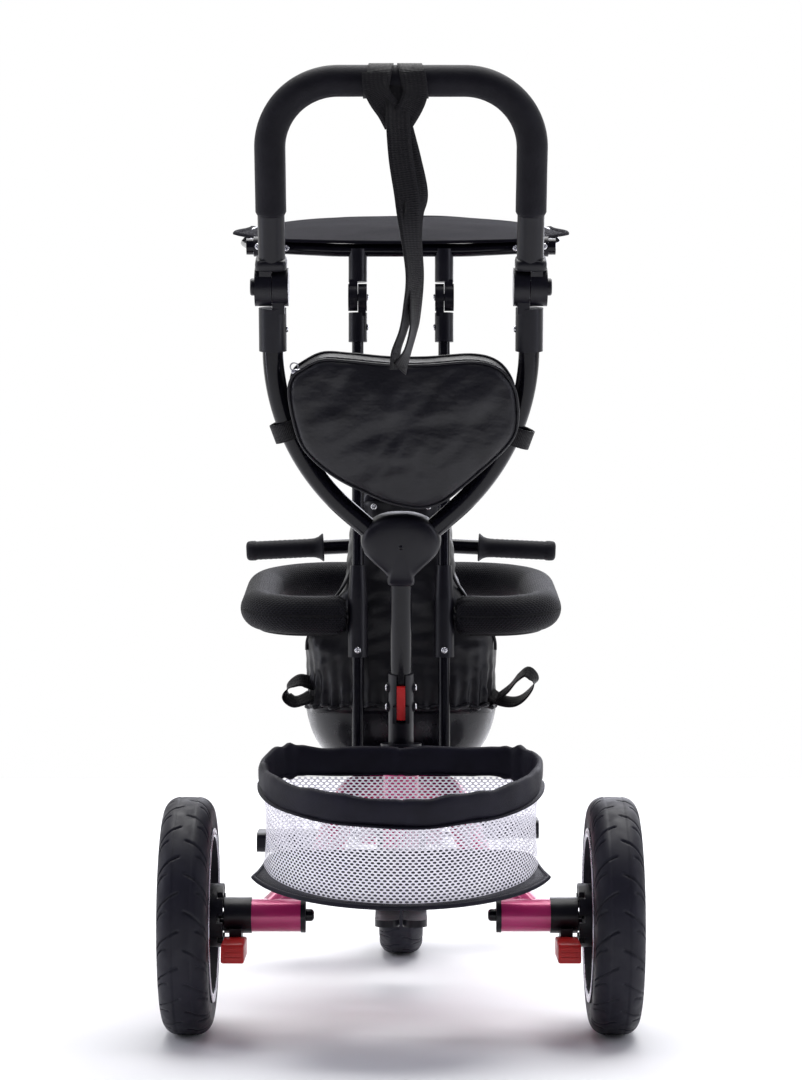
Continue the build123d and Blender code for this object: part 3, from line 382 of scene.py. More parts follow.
# ---- mesh helpers -------------------------------------------------------------------------------
def add_mesh(name, points, faces, material, uvs=None):
    data = bpy.data.meshes.new(name)
    data.from_pydata([tuple(p) for p in points], [], faces)
    data.polygons.foreach_set("use_smooth", [True] * len(faces))
    if uvs:
        layer = data.uv_layers.new(name="UVMap")
        for loop in data.loops:
            layer.data[loop.index].uv = uvs[loop.vertex_index]
    data.materials.append(MATERIALS[material])
    data.update()
    made = bpy.data.objects.new(name, data)
    bpy.context.scene.collection.objects.link(made)
    return made


def apply_modifiers(obj):
    """Turns the object's modifiers into its mesh."""
    graph = bpy.context.evaluated_depsgraph_get()
    data = bpy.data.meshes.new_from_object(obj.evaluated_get(graph))
    obj.modifiers.clear()
    obj.data = data
    return obj


def thicken(obj, depth, offset=-1.0):
    made = obj.modifiers.new("thick", "SOLIDIFY")
    made.thickness = depth
    made.offset = offset
    return obj


def round_edges(obj, width, segments=2):
    made = obj.modifiers.new("round", "BEVEL")
    made.width = width
    made.segments = segments
    made.limit_method = "ANGLE"
    made.angle_limit = math.radians(35)
    return obj


def settle(obj, body, slot, *replaced, matrix=None):
    """Places a finished piece on its body; the slot argument is not used."""
    if matrix is not None:
        obj.data.transform(matrix)
    if obj.modifiers:
        apply_modifiers(obj)
    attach(obj, body)
    if replaced:
        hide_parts(*replaced)
    return obj


def bands(rings, sides, flipped=False, closed=False):
    """Quads between rings of vertices laid one after another; closed joins the last ring to the first."""
    faces = []
    for i in range(rings if closed else rings - 1):
        a, b = i * sides, ((i + 1) % rings) * sides
        for k in range(sides):
            n = (k + 1) % sides
            faces.append((a + k, b + k, b + n, a + n) if flipped else (a + k, a + n, b + n, b + k))
    return faces


def caps(rings, sides, flipped=False):
    """The two faces that close the ends of the rings."""
    first, last = range(sides), range((rings - 1) * sides, rings * sides)
    return [tuple(first), tuple(reversed(last))] if flipped else [tuple(reversed(first)), tuple(last)]


def grid(name, rows, columns, place, material, scale=(1, 1)):
    """A sheet of quads through place(i / rows, j / columns), with UVs in metres of the given scale."""
    points, uvs = [], []
    for i in range(rows + 1):
        for j in range(columns + 1):
            points.append(place(i / rows, j / columns))
            uvs.append((i / rows * scale[0], j / columns * scale[1]))
    faces = []
    for i in range(rows):
        for j in range(columns):
            a = i * (columns + 1) + j
            b = a + columns + 1
            faces.append((a, b, b + 1, a + 1))
    return add_mesh(name, points, faces, material, uvs)


def rounded_path(corners, radii, step):
    """Points along straight runs joined by tangent arcs."""
    corners = [Vector(c) for c in corners]
    points = [corners[0]]
    for before, corner, after, radius in zip(corners, corners[1:], corners[2:], radii):
        a, b = (before - corner).normalized(), (after - corner).normalized()
        turn = math.pi - a.angle(b)
        reach = radius * math.tan(turn / 2)
        centre = corner + (a + b).normalized() * (radius / math.cos(turn / 2))
        start, end = corner + a * reach - centre, corner + b * reach - centre
        pieces = max(4, int(turn * radius / step))
        for k in range(pieces + 1):
            t = k / pieces
            points.append(centre + start.slerp(end, t).normalized() * radius)
    points.append(corners[-1])
    spaced = []
    for a, b in zip(points, points[1:]):
        pieces = max(1, round((b - a).length / step))
        spaced += [a.lerp(b, k / pieces) for k in range(pieces)]
    return spaced + [points[-1]]


def frames_along(points, closed=False, up=Vector((0, 0, 1))):
    """(point, side, up) at each point, with the twist of a frame carried along the path."""
    count = len(points)
    tangents = []
    for i in range(count):
        before = points[i - 1] if i or closed else points[0]
        after = points[(i + 1) % count] if i < count - 1 or closed else points[-1]
        tangents.append((after - before).normalized())
    side = tangents[0].cross(up)
    side = side.normalized() if side.length > 1e-4 else Vector((1, 0, 0))
    out = []
    for point, tangent in zip(points, tangents):
        side = (side - tangent * side.dot(tangent)).normalized()
        out.append((point, side, side.cross(tangent).normalized()))
    return out


def path_length(points, closed=False):
    total = sum((b - a).length for a, b in zip(points, points[1:]))
    return total + (points[0] - points[-1]).length if closed else total


def sweep(name, points, section, material, closed=False, up=Vector((0, 0, 1)), shape=None):
    """Sweeps a closed section of (side, up) pairs along points; shape(t, k) scales a section point."""
    ring = frames_along(points, closed, up)
    count, sides = len(ring), len(section)
    length = path_length(points, closed)
    girth = sum((Vector(section[k]) - Vector(section[k - 1])).length for k in range(sides))
    verts, uvs = [], []
    for i, (point, side, rise) in enumerate(ring):
        for k, (a, b) in enumerate(section):
            grow = shape(i / (count - 1), k / sides) if shape else 1.0
            verts.append(point + side * a * grow + rise * b * grow)
            uvs.append((i / count * length, k / sides * girth))
    faces = bands(count, sides, closed=closed) + ([] if closed else caps(count, sides))
    return add_mesh(name, verts, faces, material, uvs)


def circle(radius, sides):
    return [(radius * math.cos(TAU * k / sides), radius * math.sin(TAU * k / sides)) for k in range(sides)]


def soft_oblong(sides, half_x, half_y, power_x, power_y):
    """A closed superellipse of (x, y) points; lower powers make it squarer."""
    points = []
    for k in range(sides):
        c, s = math.cos(TAU * k / sides), math.sin(TAU * k / sides)
        x, y = math.copysign(abs(c) ** power_x, c), math.copysign(abs(s) ** power_y, s)
        points.append((x * half_x, y * half_y))
    return points


def strip(half, low, high):
    """A flat rectangular section."""
    return [(-half, low), (half, low), (half, high), (-half, high)]


def turned(name, profile, material, matrix, sides=48):
    """A solid of revolution about X from (x, radius) pairs, closed at both ends."""
    verts = [(x, y, z) for x, radius in profile for y, z in circle(radius, sides)]
    rings = len(profile)
    faces = bands(rings, sides, flipped=True) + caps(rings, sides, flipped=True)
    made = add_mesh(name, verts, faces, material)
    made.data.transform(matrix)
    return made


def smooth_step(value, low, high):
    t = min(1.0, max(0.0, (value - low) / (high - low)))
    return t * t * (3 - 2 * t)


def waver(x, y, z, size):
    return noise.noise(Vector((x, y, z)) / size)


def curve_through(points, count, closed=False):
    """Evenly counted points on a smooth Catmull-Rom curve through the given ones."""
    points = [Vector(p) for p in points]
    last = len(points) if closed else len(points) - 1
    out = []
    for k in range(count):
        t = k / count * last if closed else k / (count - 1) * last
        i = min(int(t), last - 1)
        f = t - i
        if closed:
            a, b, c, d = (points[(i + n) % len(points)] for n in (-1, 0, 1, 2))
        else:
            a, b, c, d = (points[min(max(i + n, 0), len(points) - 1)] for n in (-1, 0, 1, 2))
        out.append(0.5 * ((2 * b) + (c - a) * f + (2 * a - 5 * b + 4 * c - d) * f * f
                          + (3 * b - a - 3 * c + d) * f ** 3))
    return out


def ribbon(name, centres, across, width, thick, material, count=60, bow=0.0):
    """A strap of webbing along the centres; across gives the width's direction at each of them."""
    path = curve_through(centres, count)
    spans = [v.normalized() for v in curve_through(across, count)]
    length = path_length(path)
    strips = 6
    verts, uvs, faces = [], [], []
    for i, (point, span) in enumerate(zip(path, spans)):
        before, after = path[max(i - 1, 0)], path[min(i + 1, count - 1)]
        tangent = (after - before).normalized()
        span = (span - tangent * span.dot(tangent)).normalized()
        face = span.cross(tangent)
        for layer in (-1, 1):
            for k in range(strips + 1):
                t = k / strips - 0.5
                lift = bow * (1 - 4 * t * t)
                verts.append(point + span * width * t + face * (layer * thick / 2 + lift))
                uvs.append((i / count * length, t * width))
    line = 2 * (strips + 1)
    for i in range(count - 1):
        a, b = i * line, (i + 1) * line
        for k in range(strips):
            faces.append((a + k, a + k + 1, b + k + 1, b + k))
            top = strips + 1 + k
            faces.append((a + top + 1, a + top, b + top, b + top + 1))
        faces.append((a, b, b + strips + 1, a + strips + 1))
        faces.append((a + strips, a + line - 1, b + line - 1, b + strips))
    for a in (0, (count - 1) * line):
        loop = [a + k for k in range(strips + 1)] + [a + line - 1 - k for k in range(strips + 1)]
        faces.append(tuple(loop if a else reversed(loop)))
    return add_mesh(name, verts, faces, material, uvs)


# ---- small hardware -----------------------------------------------------------------------------
SCREW_R, SCREW_H = 3.6 * MM, 2.2 * MM


def screw_head(place, axis):
    """Verts and faces of a domed screw head with a cross recess, its top towards axis."""
    rings, sides = 9, 32
    turn = Vector(axis).normalized().to_track_quat("Z", "Y").to_matrix().to_4x4()
    matrix = Matrix.Translation(place) @ turn
    verts = [Vector((x, y, 0)) for x, y in circle(SCREW_R, sides)]
    for i in range(rings):
        share = 1 - i / rings
        z = SCREW_H * (math.sqrt(1 - share ** 3) * 0.7 + 0.3)
        for x, y in circle(SCREW_R * share, sides):
            in_cross = min(abs(x), abs(y)) < SCREW_R * 0.17 and share < 0.66
            verts.append(Vector((x, y, z - (SCREW_H * 0.55 if in_cross else 0))))
    verts.append(Vector((0, 0, SCREW_H * 0.45)))
    faces = bands(rings + 1, sides)
    top = rings * sides
    faces += [(top + k, top + (k + 1) % sides, len(verts) - 1) for k in range(sides)]
    faces.append(tuple(reversed(range(sides))))
    return [matrix @ v for v in verts], faces


def screws(name, places, body, *replaced):
    """One piece with a screw head at each (place, axis)."""
    verts, faces = [], []
    for place, axis in places:
        some, around = screw_head(Vector(place), axis)
        faces += [tuple(i + len(verts) for i in face) for face in around]
        verts += some
    return settle(add_mesh(name, verts, faces, "chrome"), body, "chrome", *replaced)


def make_screws():
    places = []
    for side in (-1, 1):
        places.append(((side * 47.5 * MM, at(115 - 11), 402 * MM), (0, -1, 0)))
        for s in (0, 21):
            places.append((HANDLE @ Vector((side * 15 * MM, 0, s * MM)), (side, 0, 0)))
    screws("frame_screw_heads", places, "frame", "frame_screws")
    screws("seat_screw_heads", [((-30 * MM, at(141.5), 560 * MM), (0, -1, 0)),
                                ((30 * MM, at(141.5), 560 * MM), (0, -1, 0))], "frame")
    screws("arm_screw_heads", [(HANDLE @ Vector((side * 119.6 * MM, 0, 408 * MM)), (-side, 0, 0))
                               for side in (-1, 1)], "push_handle")
    screws("mast_screw_heads", [((side * (x + 0.1) * MM, at(115), z * MM), (-side, 0, 0))
                                for side in (-1, 1) for x, z in ((37.3, 790), (37.3, 757))], "canopy_mast")
    bow = joint_place("hoop_fold")
    places = [((side * x * MM, bow.y - y * MM, bow.z - z * MM), (0, -1, 0))
              for side in (-1, 1) for x, y, z in ((126, 7.0, 2), (157, 10.8, 1))]
    screws("bow_screw_heads", places, "canopy_frame")
    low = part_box("footrest_bracket")[0]
    screws("footrest_screw_head", [((-26 * MM, low.y, low.z + 14 * MM), (0, -1, 0))], "frame")


# ---- wheels -------------------------------------------------------------------------------------
SLASH_PITCH = 39 * MM
SLASH_DEPTH = 2.0 * MM


def slash_depth(along, across, girth):
    """How deep the tread is cut at a place on the tyre: long curved slashes, staggered left and right."""
    side = 1 if across >= 0 else -1
    out = abs(across) - 1.5 * MM
    pitch = girth / round(girth / SLASH_PITCH)
    depth = 0.0
    for long, start, offset, lean in ((32 * MM, 0.0, 0.0, 27 * MM), (17 * MM, 13 * MM, 0.5, 15 * MM)):
        t = (out - start) / long
        if not 0 <= t <= 1:
            continue
        drift = lean * t ** 1.25 - 2 * MM * math.sin(t * math.pi)
        place = (along + (0.5 * pitch if side > 0 else 0) - offset * pitch - drift) % pitch
        away = min(place, pitch - place)
        half = (1.5 - 0.5 * t) * MM
        ends = smooth_step(t, 0, 0.06) * (1 - smooth_step(t, 0.92, 1))
        depth = max(depth, (1 - smooth_step(away, half * 0.4, half)) * ends)
    return depth * SLASH_DEPTH


def tyre_section(width, depth, radius):
    """(x, radius, distance round from the crown) from one bead over the crown to the other."""
    half, corner = width / 2, 17 * MM
    points = [(half - 5 * MM, radius - depth), (half - 1.2 * MM, radius - depth + 3.5 * MM)]
    points.append((half - 0.2 * MM, radius - depth + 10 * MM))
    points.append((half + 0.5 * MM, radius - depth + 12.5 * MM))
    points.append((half, radius - depth + 15 * MM))
    for k in range(1, 21):
        a = math.pi / 2 * k / 21
        points.append((half - corner + corner * math.cos(a), radius - corner + corner * math.sin(a)))
    flat = half - corner
    for k in range(9):
        x = flat * (1 - k / 8)
        points.append((x, radius - 0.5 * MM * (x / flat) ** 2))
    left = [(-x, r) for x, r in reversed(points[:-1])]
    whole = points + left
    middle = len(points) - 1
    walked = [0.0]
    for a, b in zip(whole, whole[1:]):
        walked.append(walked[-1] + math.dist(a, b))
    return [(x, r, walked[middle] - w) for (x, r), w in zip(whole, walked)]


def make_tyre(name, centre, radius, width, body, steps):
    section = tyre_section(width, 35 * MM, radius)
    girth = TAU * radius
    verts, uvs = [], []
    for i in range(steps):
        angle = TAU * i / steps
        for x, r, across in section:
            cut = slash_depth(angle / TAU * girth, across, girth) if abs(across) < 36 * MM else 0.0
            r -= cut
            verts.append(centre + Vector((x, r * math.cos(angle), r * math.sin(angle))))
            uvs.append((angle / TAU * girth, across))
    made = add_mesh(name, verts, bands(steps, len(section), closed=True), "tyre", uvs)
    return settle(made, body, "tyre", name.replace("_tread", ""))


def make_rim_edge(name, centre, seat, body, sides_out):
    """Bright ring on each face of the rim."""
    profile = [(26.0, seat - 7.5), (26.6, seat - 7.0), (27.2, seat - 3), (26.9, seat + 1.5), (26.0, seat + 2)]
    sides = 128
    for label, side in sides_out:
        verts = [centre + Vector((side * x * MM, y, z)) for x, r in profile for y, z in circle(r * MM, sides)]
        faces = bands(len(profile), sides, flipped=True, closed=True)
        if side < 0:
            faces = [tuple(reversed(face)) for face in faces]
        settle(add_mesh(f"{name}_{label}", verts, faces, "silver"), body, "steel")


def make_wheels():
    for label, side in (("left", -1), ("right", 1)):
        centre = joint_place(f"{label}_wheel_spin")
        make_tyre(f"{label}_tyre_tread", centre, 125 * MM, 52 * MM, f"{label}_wheel", 660)
        make_rim_edge(f"{label}_rim_edge", centre, 90, f"{label}_wheel", (("inner", -side), ("outer", side)))
    make_tyre("front_tyre_tread", FRONT_AXLE.copy(), 150 * MM, 54 * MM, "front_wheel", 720)
    make_rim_edge("front_rim_edge", FRONT_AXLE, 115, "front_wheel", (("left", -1), ("right", 1)))


def rounded_block(name, low, high, radius, material):
    """A box with rounded edges."""
    low, high = Vector(low), Vector(high)
    corners = [(x, y, z) for x in (low.x, high.x) for y in (low.y, high.y) for z in (low.z, high.z)]
    faces = [(0, 1, 3, 2), (4, 6, 7, 5), (0, 4, 5, 1), (2, 3, 7, 6), (0, 2, 6, 4), (1, 5, 7, 3)]
    made = add_mesh(name, corners, faces, material)
    round_edges(made, radius, 4)
    return apply_modifiers(made)


def make_brake_pedals():
    """Red foot pedals: a short moulded block under a narrower arm."""
    for label in ("left", "right"):
        low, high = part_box(f"{label}_brake_pedal")
        block = rounded_block(f"{label}_foot_block", (low.x, low.y, low.z + 10 * MM),
                              (high.x, high.y - 6 * MM, low.z + 30 * MM), 2.2 * MM, "red_plastic")
        settle(block, f"{label}_brake", "red_plastic", f"{label}_brake_pedal")
        inner = min(abs(low.x), abs(high.x))
        side = -1 if label == "left" else 1
        a, b = sorted((side * inner, side * (inner + 11 * MM)))
        arm = rounded_block(f"{label}_brake_arm", (a, low.y + 8 * MM, low.z + 26 * MM),
                            (b, high.y - 4 * MM, high.z - 3 * MM), 1.4 * MM, "red_plastic")
        settle(arm, f"{label}_brake", "red_plastic")
        for index in range(3):
            z = low.z + (15 + index * 5) * MM
            rib = rounded_block(f"{label}_pedal_rib_{index}", (low.x + 3 * MM, low.y - 0.7 * MM, z),
                                (high.x - 3 * MM, low.y + 2 * MM, z + 1.6 * MM), 0.5 * MM, "red_plastic")
            settle(rib, f"{label}_brake", "red_plastic")


# ---- padded tubes and grips ---------------------------------------------------------------------
def make_ring():
    """Knit-covered foam ring with gathered ends and soft creases in its bends."""
    y0, y1 = at(120), at(390)
    z0, z1 = 440 * MM, 476 * MM
    out, start = 158.5 * MM, 61 * MM
    corners = [(start, y0, z0), (out, y0, z0), (out, y1, z1)]
    corners += [(-x, y, z) for x, y, z in reversed(corners)]
    path = rounded_path(corners, [r * MM for r in (55, 85, 85, 55)], 3.5 * MM)
    length = path_length(path)

    def shape(t, k):
        end = min(t, 1 - t) * length
        gather = 1 - 0.2 * (1 - smooth_step(end, 0, 7 * MM))
        pleat = 0.03 * math.sin(k * TAU * 15) * (1 - smooth_step(end, 4 * MM, 26 * MM))
        angle = k * TAU
        soft = waver(t * length, math.cos(angle) * 0.03, math.sin(angle) * 0.03, 0.022)
        return gather + pleat + 0.012 * soft

    made = sweep("ring_padding", path, circle(21.3 * MM, 48), "mesh_foam", shape=shape)
    settle(made, "safety_ring", "mesh_foam", "ring_foam", "ring_ends")
    seam = [p + Vector((0, 0, -21.5 * MM)) for p in path]
    piping = sweep("ring_seam", seam[4:-4], circle(1.5 * MM, 8), "webbing")
    settle(piping, "safety_ring", "mesh_foam")


LOOP_X, LOOP_TOP, LOOP_BEND = 134 * MM, 218 * MM, 70 * MM


def make_loop_foam():
    """Foam tube round the loop, from one sleeve over the bar to the other."""
    low = 78.3 * MM
    corners = [(LOOP_X, 0, low), (LOOP_X, 0, LOOP_TOP), (-LOOP_X, 0, LOOP_TOP), (-LOOP_X, 0, low)]
    path = [LOOP @ p for p in rounded_path(corners, [LOOP_BEND] * 2, 3 * MM)]
    length = path_length(path)

    def shape(t, k):
        end = min(t, 1 - t) * length
        angle = k * TAU
        soft = waver(t * length, math.cos(angle) * 0.02, math.sin(angle) * 0.02, 0.03)
        return 0.9 + 0.1 * smooth_step(end, 0, 2 * MM) + 0.008 * soft

    made = sweep("loop_padding", path, circle(16 * MM, 40), "foam", shape=shape, up=Vector((0, 1, 0)))
    settle(made, "handle_loop", "foam", "loop_foam")


def make_grips():
    """Rubber grips with shallow rings, a flared inner flange and a thicker outer end."""
    lean, reach = math.radians(22), 395 * MM
    centre = FRONT_AXLE + Vector((0, -math.sin(lean) * reach, math.cos(lean) * reach))
    for label, side in (("left", -1), ("right", 1)):
        inner = centre + Vector((side * 60 * MM, 0, 0))
        tip = centre + Vector((side * 186 * MM, -6 * MM, -6 * MM))
        along = (inner - tip).normalized()
        turn = along.to_track_quat("X", "Z").to_matrix().to_4x4()
        matrix = Matrix.Translation(tip - along * 2 * MM) @ turn
        profile = [(-0.4, 6.0), (0, 8.5), (1.2, 10.6), (3, 11.7), (7, 12.1), (11, 12.0), (12.2, 11.4)]
        for k in range(22):
            x = 14 + k * 3.0
            profile.append((x, 11.25 + (0.22 if k % 2 else -0.1)))
        profile += [(80, 11.5), (84, 12.0), (88, 13.4), (91, 15.6), (92.4, 16.9), (93.6, 17.0), (94, 16.2),
                    (94, 9.4)]
        made = turned(f"{label}_grip", [(x * MM, r * MM) for x, r in profile], "foam", matrix)
        settle(made, "steering", "foam", *(["handlebar_grips"] if side < 0 else []))


# ---- wrist strap --------------------------------------------------------------------------------
def make_wrist_strap():
    """Webbing wound on the bar, then a doubled strap that hangs, twists a little and opens at its end."""
    bar = LOOP @ Vector((0, 0, LOOP_TOP))
    width, thick, reach = 25 * MM, 1.4 * MM, 17.1 * MM
    for label, x, slant in (("left", -23, 6), ("right", 12, -7)):
        turns = []
        spans = []
        for k in range(25):
            angle = TAU * k / 24
            drift = slant * math.cos(angle) * 0.5 * MM
            turns.append(bar + Vector((x * MM + drift, -reach * math.sin(angle), reach * math.cos(angle))))
            spans.append(Vector((1, -0.12 * slant / 6 * math.sin(angle), 0)))
        wrap = ribbon(f"{label}_bar_wrap", turns, spans, width, thick, "webbing", 72)
        settle(wrap, "handle_loop", "webbing", *(["wrist_strap"] if label == "left" else []))
    y = bar.y - 19.5 * MM
    for label, line in (("left", ((-27, 6), (-26, -8), (-21, -20), (-12, -33), (-5, -46))),
                        ("right", ((12, 6), (14, -8), (14, -18), (9, -30), (1, -43)))):
        side = -1 if label == "left" else 1
        centres = [(x * MM, y + abs(k - 1) * 0.9 * MM - 0.4 * side * MM, bar.z + z * MM)
                   for k, (x, z) in enumerate(line)]
        spans = [Vector((1, 0, side * t)) for t in (0.0, 0.12, 0.5, 0.75, 0.5)]
        fold = ribbon(f"{label}_strap_fold", centres, spans, width, thick, "webbing", 40, 0.8 * MM)
        settle(fold, "handle_loop", "webbing")
        path_length(curve_through(centres, 40))
    top = bar.z - 3 * MM
    for label, gap in (("outer", -0.9), ("inner", 1.1)):
        centres, spans = [], []
        for x, z, dy, twist in HANG_LINE[label]:
            centres.append((x * MM, y + dy * MM + gap * MM, top - z * MM))
            spans.append(Vector((math.cos(math.radians(twist)), math.sin(math.radians(twist)), 0)))
        ply = ribbon(f"strap_{label}_ply", centres, spans, width, thick, "webbing", 110, 0.6 * MM)
        settle(ply, "handle_loop", "webbing")
        path_length(curve_through(centres, 110))


HANG_LINE = {
    # x, distance below the bar's top, distance ahead, and twist of the width in degrees
    "outer": [(-4, 0, 7, 0), (-3, 20, 3, 6), (-3, 41, 0, 14), (0, 79, -2, 8), (6, 118, -3, 4),
              (10, 158, -3, 36), (13, 197, -3, 50), (8, 228, -3, 64), (2, 252, -4, 74), (-5, 274, -5, 70),
              (-3, 290, -5, 50)],
    "inner": [(-1, 0, 7, 0), (-1, 20, 5, 8), (-1, 41, 2, 14), (8, 79, 1, 8), (15, 112, 1, 16),
              (13, 132, 1, 40), (11, 158, 1, 38), (15, 197, 1, 52), (14, 236, 2, 66), (12, 252, 2, 74),
              (6, 274, 0, 74), (-1, 290, -4, 54)],
}


# ---- handle fittings ----------------------------------------------------------------------------
SHIELD = [(0, 212.5), (14, 211.5), (27, 207), (36, 199.5), (41.5, 190), (42.5, 180), (39, 170), (31, 160.5),
          (22, 152), (14.5, 144), (12, 134)]
SHIELD_LAYERS = [(-17.6, 0.02), (-17.5, 0.3), (-17, 0.55), (-16, 0.74), (-14, 0.88), (-11, 0.955), (-6, 0.99),
                 (0, 1.0), (8, 1.0), (12, 0.975), (14.4, 0.93), (15, 0.86), (15, 0.02)]


def make_junction():
    """The moulded shield where the stem and both arms meet."""
    outline = SHIELD + [(-x, s) for x, s in reversed(SHIELD[1:])]
    edge = curve_through([(x * MM, 0, s * MM) for x, s in outline], 140, closed=True)
    centre = Vector((0, 0, 178 * MM))
    verts = []
    for y, share in SHIELD_LAYERS:
        for p in edge:
            flat = centre + (p - centre) * share
            verts.append((flat.x, y * MM, flat.z))
    size = len(SHIELD_LAYERS), len(edge)
    faces = bands(*size, flipped=True) + caps(*size, flipped=True)
    made = add_mesh("junction_shield", verts, faces, "black_plastic")
    settle(made, "push_handle", "black_plastic", "handle_junction", matrix=HANDLE)
    turn = Matrix.Translation((0, -17.6 * MM, 178 * MM)) @ Matrix.Rotation(math.pi / 2, 4, "Z")
    ring = turned("junction_plug", [(-0.4 * MM, 2.6 * MM), (0.3 * MM, 2.6 * MM), (0.6 * MM, 2.2 * MM),
                                    (0.1 * MM, 1.5 * MM), (-0.3 * MM, 1.2 * MM)], "black_paint", turn, 24)
    settle(ring, "push_handle", "black_plastic", matrix=HANDLE)


def make_joint_collars():
    """The shoulder of each fold-joint housing, under its sleeve."""
    for label, side in (("left", -1), ("right", 1)):
        section = soft_oblong(40, 16.6 * MM, 14.5 * MM, 0.45, 0.45)
        heights = [(20.7, 0.94), (21.4, 1.0), (27, 1.0), (30, 0.96), (31.5, 0.88)]
        verts = [(side * 134.8 * MM + a * share, b * share, z * MM)
                 for z, share in heights for a, b in section]
        faces = bands(len(heights), len(section)) + caps(len(heights), len(section))
        made = add_mesh(f"{label}_joint_shoulder", verts, faces, "black_plastic")
        settle(made, "handle_loop", "black_plastic", matrix=LOOP)


# ---- bag ----------------------------------------------------------------------------------------
BAG_OUTLINE = [(-103, 369), (-82, 379), (-55, 378), (-11, 374), (29, 374), (75, 377), (101, 370), (116, 352),
               (121, 329), (119, 304), (109, 288), (92, 271), (68, 250), (44, 231), (20, 224), (-10, 229),
               (-34, 239), (-64, 254), (-88, 272), (-104, 292), (-112, 318), (-116, 345), (-113, 360)]
BAG_FRONT, BAG_BACK = -30 * MM, 26 * MM


def bag_edge(count):
    return curve_through([(x * MM, 0, s * MM) for x, s in BAG_OUTLINE], count, closed=True)


def bag_squeeze(y):
    """How far the arms press the bag's side in at a depth y from their plane."""
    return 1 - 0.085 * math.exp(-(y / (13 * MM)) ** 2)


def make_bag():
    """Sewn nylon bag: a soft front and back panel, a gusset with a zip along its top, and piping."""
    around, rings, sides = 180, 20, 10
    edge = bag_edge(around)
    centre = Vector((2 * MM, 0, 308 * MM))

    def panel_point(j, t, depth, out):
        flat = centre + (edge[j] - centre) * t * bag_squeeze(depth)
        dome = math.sqrt(max(0.0, 1 - t ** 3.2))
        folds = waver(flat.x + out, flat.z * 1.3, out * 3, 0.05) * 5 * MM
        folds += waver(flat.x * 1.4 - flat.z, flat.z + flat.x * 0.4, out * 7, 0.026) * 2.6 * MM
        sag = 3.5 * MM * math.exp(-((flat.z - 0.285) / 0.03) ** 2)
        y = depth + math.copysign(1, out) * (9 * MM * dome + (folds + sag) * dome)
        return Vector((flat.x, y, flat.z))

    layers = []
    for i in range(rings):
        layers.append([panel_point(j, i / rings, BAG_FRONT, -1) for j in range(around)])
    for i in range(sides + 1):
        y = BAG_FRONT + (BAG_BACK - BAG_FRONT) * i / sides
        layer = []
        for j in range(around):
            flat = centre + (edge[j] - centre) * bag_squeeze(y)
            pull = 1 - 0.012 * math.sin(i / sides * math.pi)
            crinkle = 1 + 0.006 * waver(flat.x, flat.z, y * 2, 0.02)
            flat = centre + (flat - centre) * pull * crinkle
            layer.append(Vector((flat.x, y, flat.z)))
        layers.append(layer)
    for i in reversed(range(rings)):
        layers.append([panel_point(j, i / rings, BAG_BACK, 1) for j in range(around)])
    verts = [p for layer in layers for p in layer]
    made = add_mesh("bag_shell", verts, bands(len(layers), around, flipped=True), "bag_cloth")
    made.data.validate()
    weld = made.modifiers.new("weld", "WELD")
    weld.merge_threshold = 0.0001
    settle(made, "push_handle", "bag_cloth", "bag", matrix=HANDLE)
    for label, y in (("front", BAG_FRONT), ("back", BAG_BACK)):
        line = [centre + (p - centre) * bag_squeeze(y) * 1.006 + Vector((0, y, 0)) for p in edge]
        cord = sweep(f"bag_piping_{label}", line, circle(1.5 * MM, 8), "bag_cloth", closed=True)
        settle(cord, "push_handle", "bag_cloth", matrix=HANDLE)
    make_bag_zip(centre, edge)
    make_bag_loops()


def make_bag_zip(centre, edge):
    """Zip tape, teeth, slider and pull along the gusset's top."""
    top = [p for p in edge if p.z > 0.352]
    top.sort(key=lambda p: p.x)
    y = -17 * MM
    line = [centre + (p - centre) * bag_squeeze(y) * 1.002 + Vector((0, y, 0.2 * MM)) for p in top]
    line = curve_through(line[::3], 90)
    tape = sweep("zip_tape", line, strip(7 * MM, -0.5 * MM, 0.9 * MM), "webbing")
    settle(tape, "push_handle", "webbing", matrix=HANDLE)
    teeth = sweep("zip_teeth", [p + Vector((0, 0, 1.1 * MM)) for p in line], circle(1.3 * MM, 6),
                  "black_plastic", shape=lambda t, k: 1.0 + 0.35 * (int(t * 89) % 2))
    settle(teeth, "push_handle", "black_plastic", matrix=HANDLE)
    spot = line[9] + Vector((0, 0, 2.6 * MM))
    slider = sweep("zip_slider", [spot + Vector((-5 * MM, 0, 0)), spot, spot + Vector((5 * MM, 0, 0.6 * MM))],
                   circle(2.8 * MM, 10), "steel")
    settle(slider, "push_handle", "steel", matrix=HANDLE)
    ring = [spot + Vector((-2 * MM + 4.2 * MM * math.cos(a), 1 * MM, 5.2 * MM + 4.2 * MM * math.sin(a)))
            for a in (TAU * k / 24 for k in range(24))]
    pull = sweep("zip_pull", ring, circle(0.7 * MM, 8), "steel", closed=True)
    settle(pull, "push_handle", "steel", matrix=HANDLE)


def make_bag_loops():
    """The two straps that go round the arms."""
    for label, side, s, x in (("left", -1, 301, 121), ("right", 1, 296, 120)):
        path, spans = [], []
        for k in range(25):
            angle = TAU * k / 24
            reach = 13.6 * MM if label == "left" else 14.6 * MM + 2.5 * MM * max(0, math.cos(angle))
            path.append((side * x * MM + side * reach * math.cos(angle), reach * math.sin(angle),
                         s * MM - reach * 0.35 * math.cos(angle)))
            spans.append(Vector((-side * 0.34, 0, -0.94)))
        strap = ribbon(f"bag_strap_{label}", path, spans, 20 * MM, 1.2 * MM, "webbing", 60)
        settle(strap, "push_handle", "webbing", matrix=HANDLE)


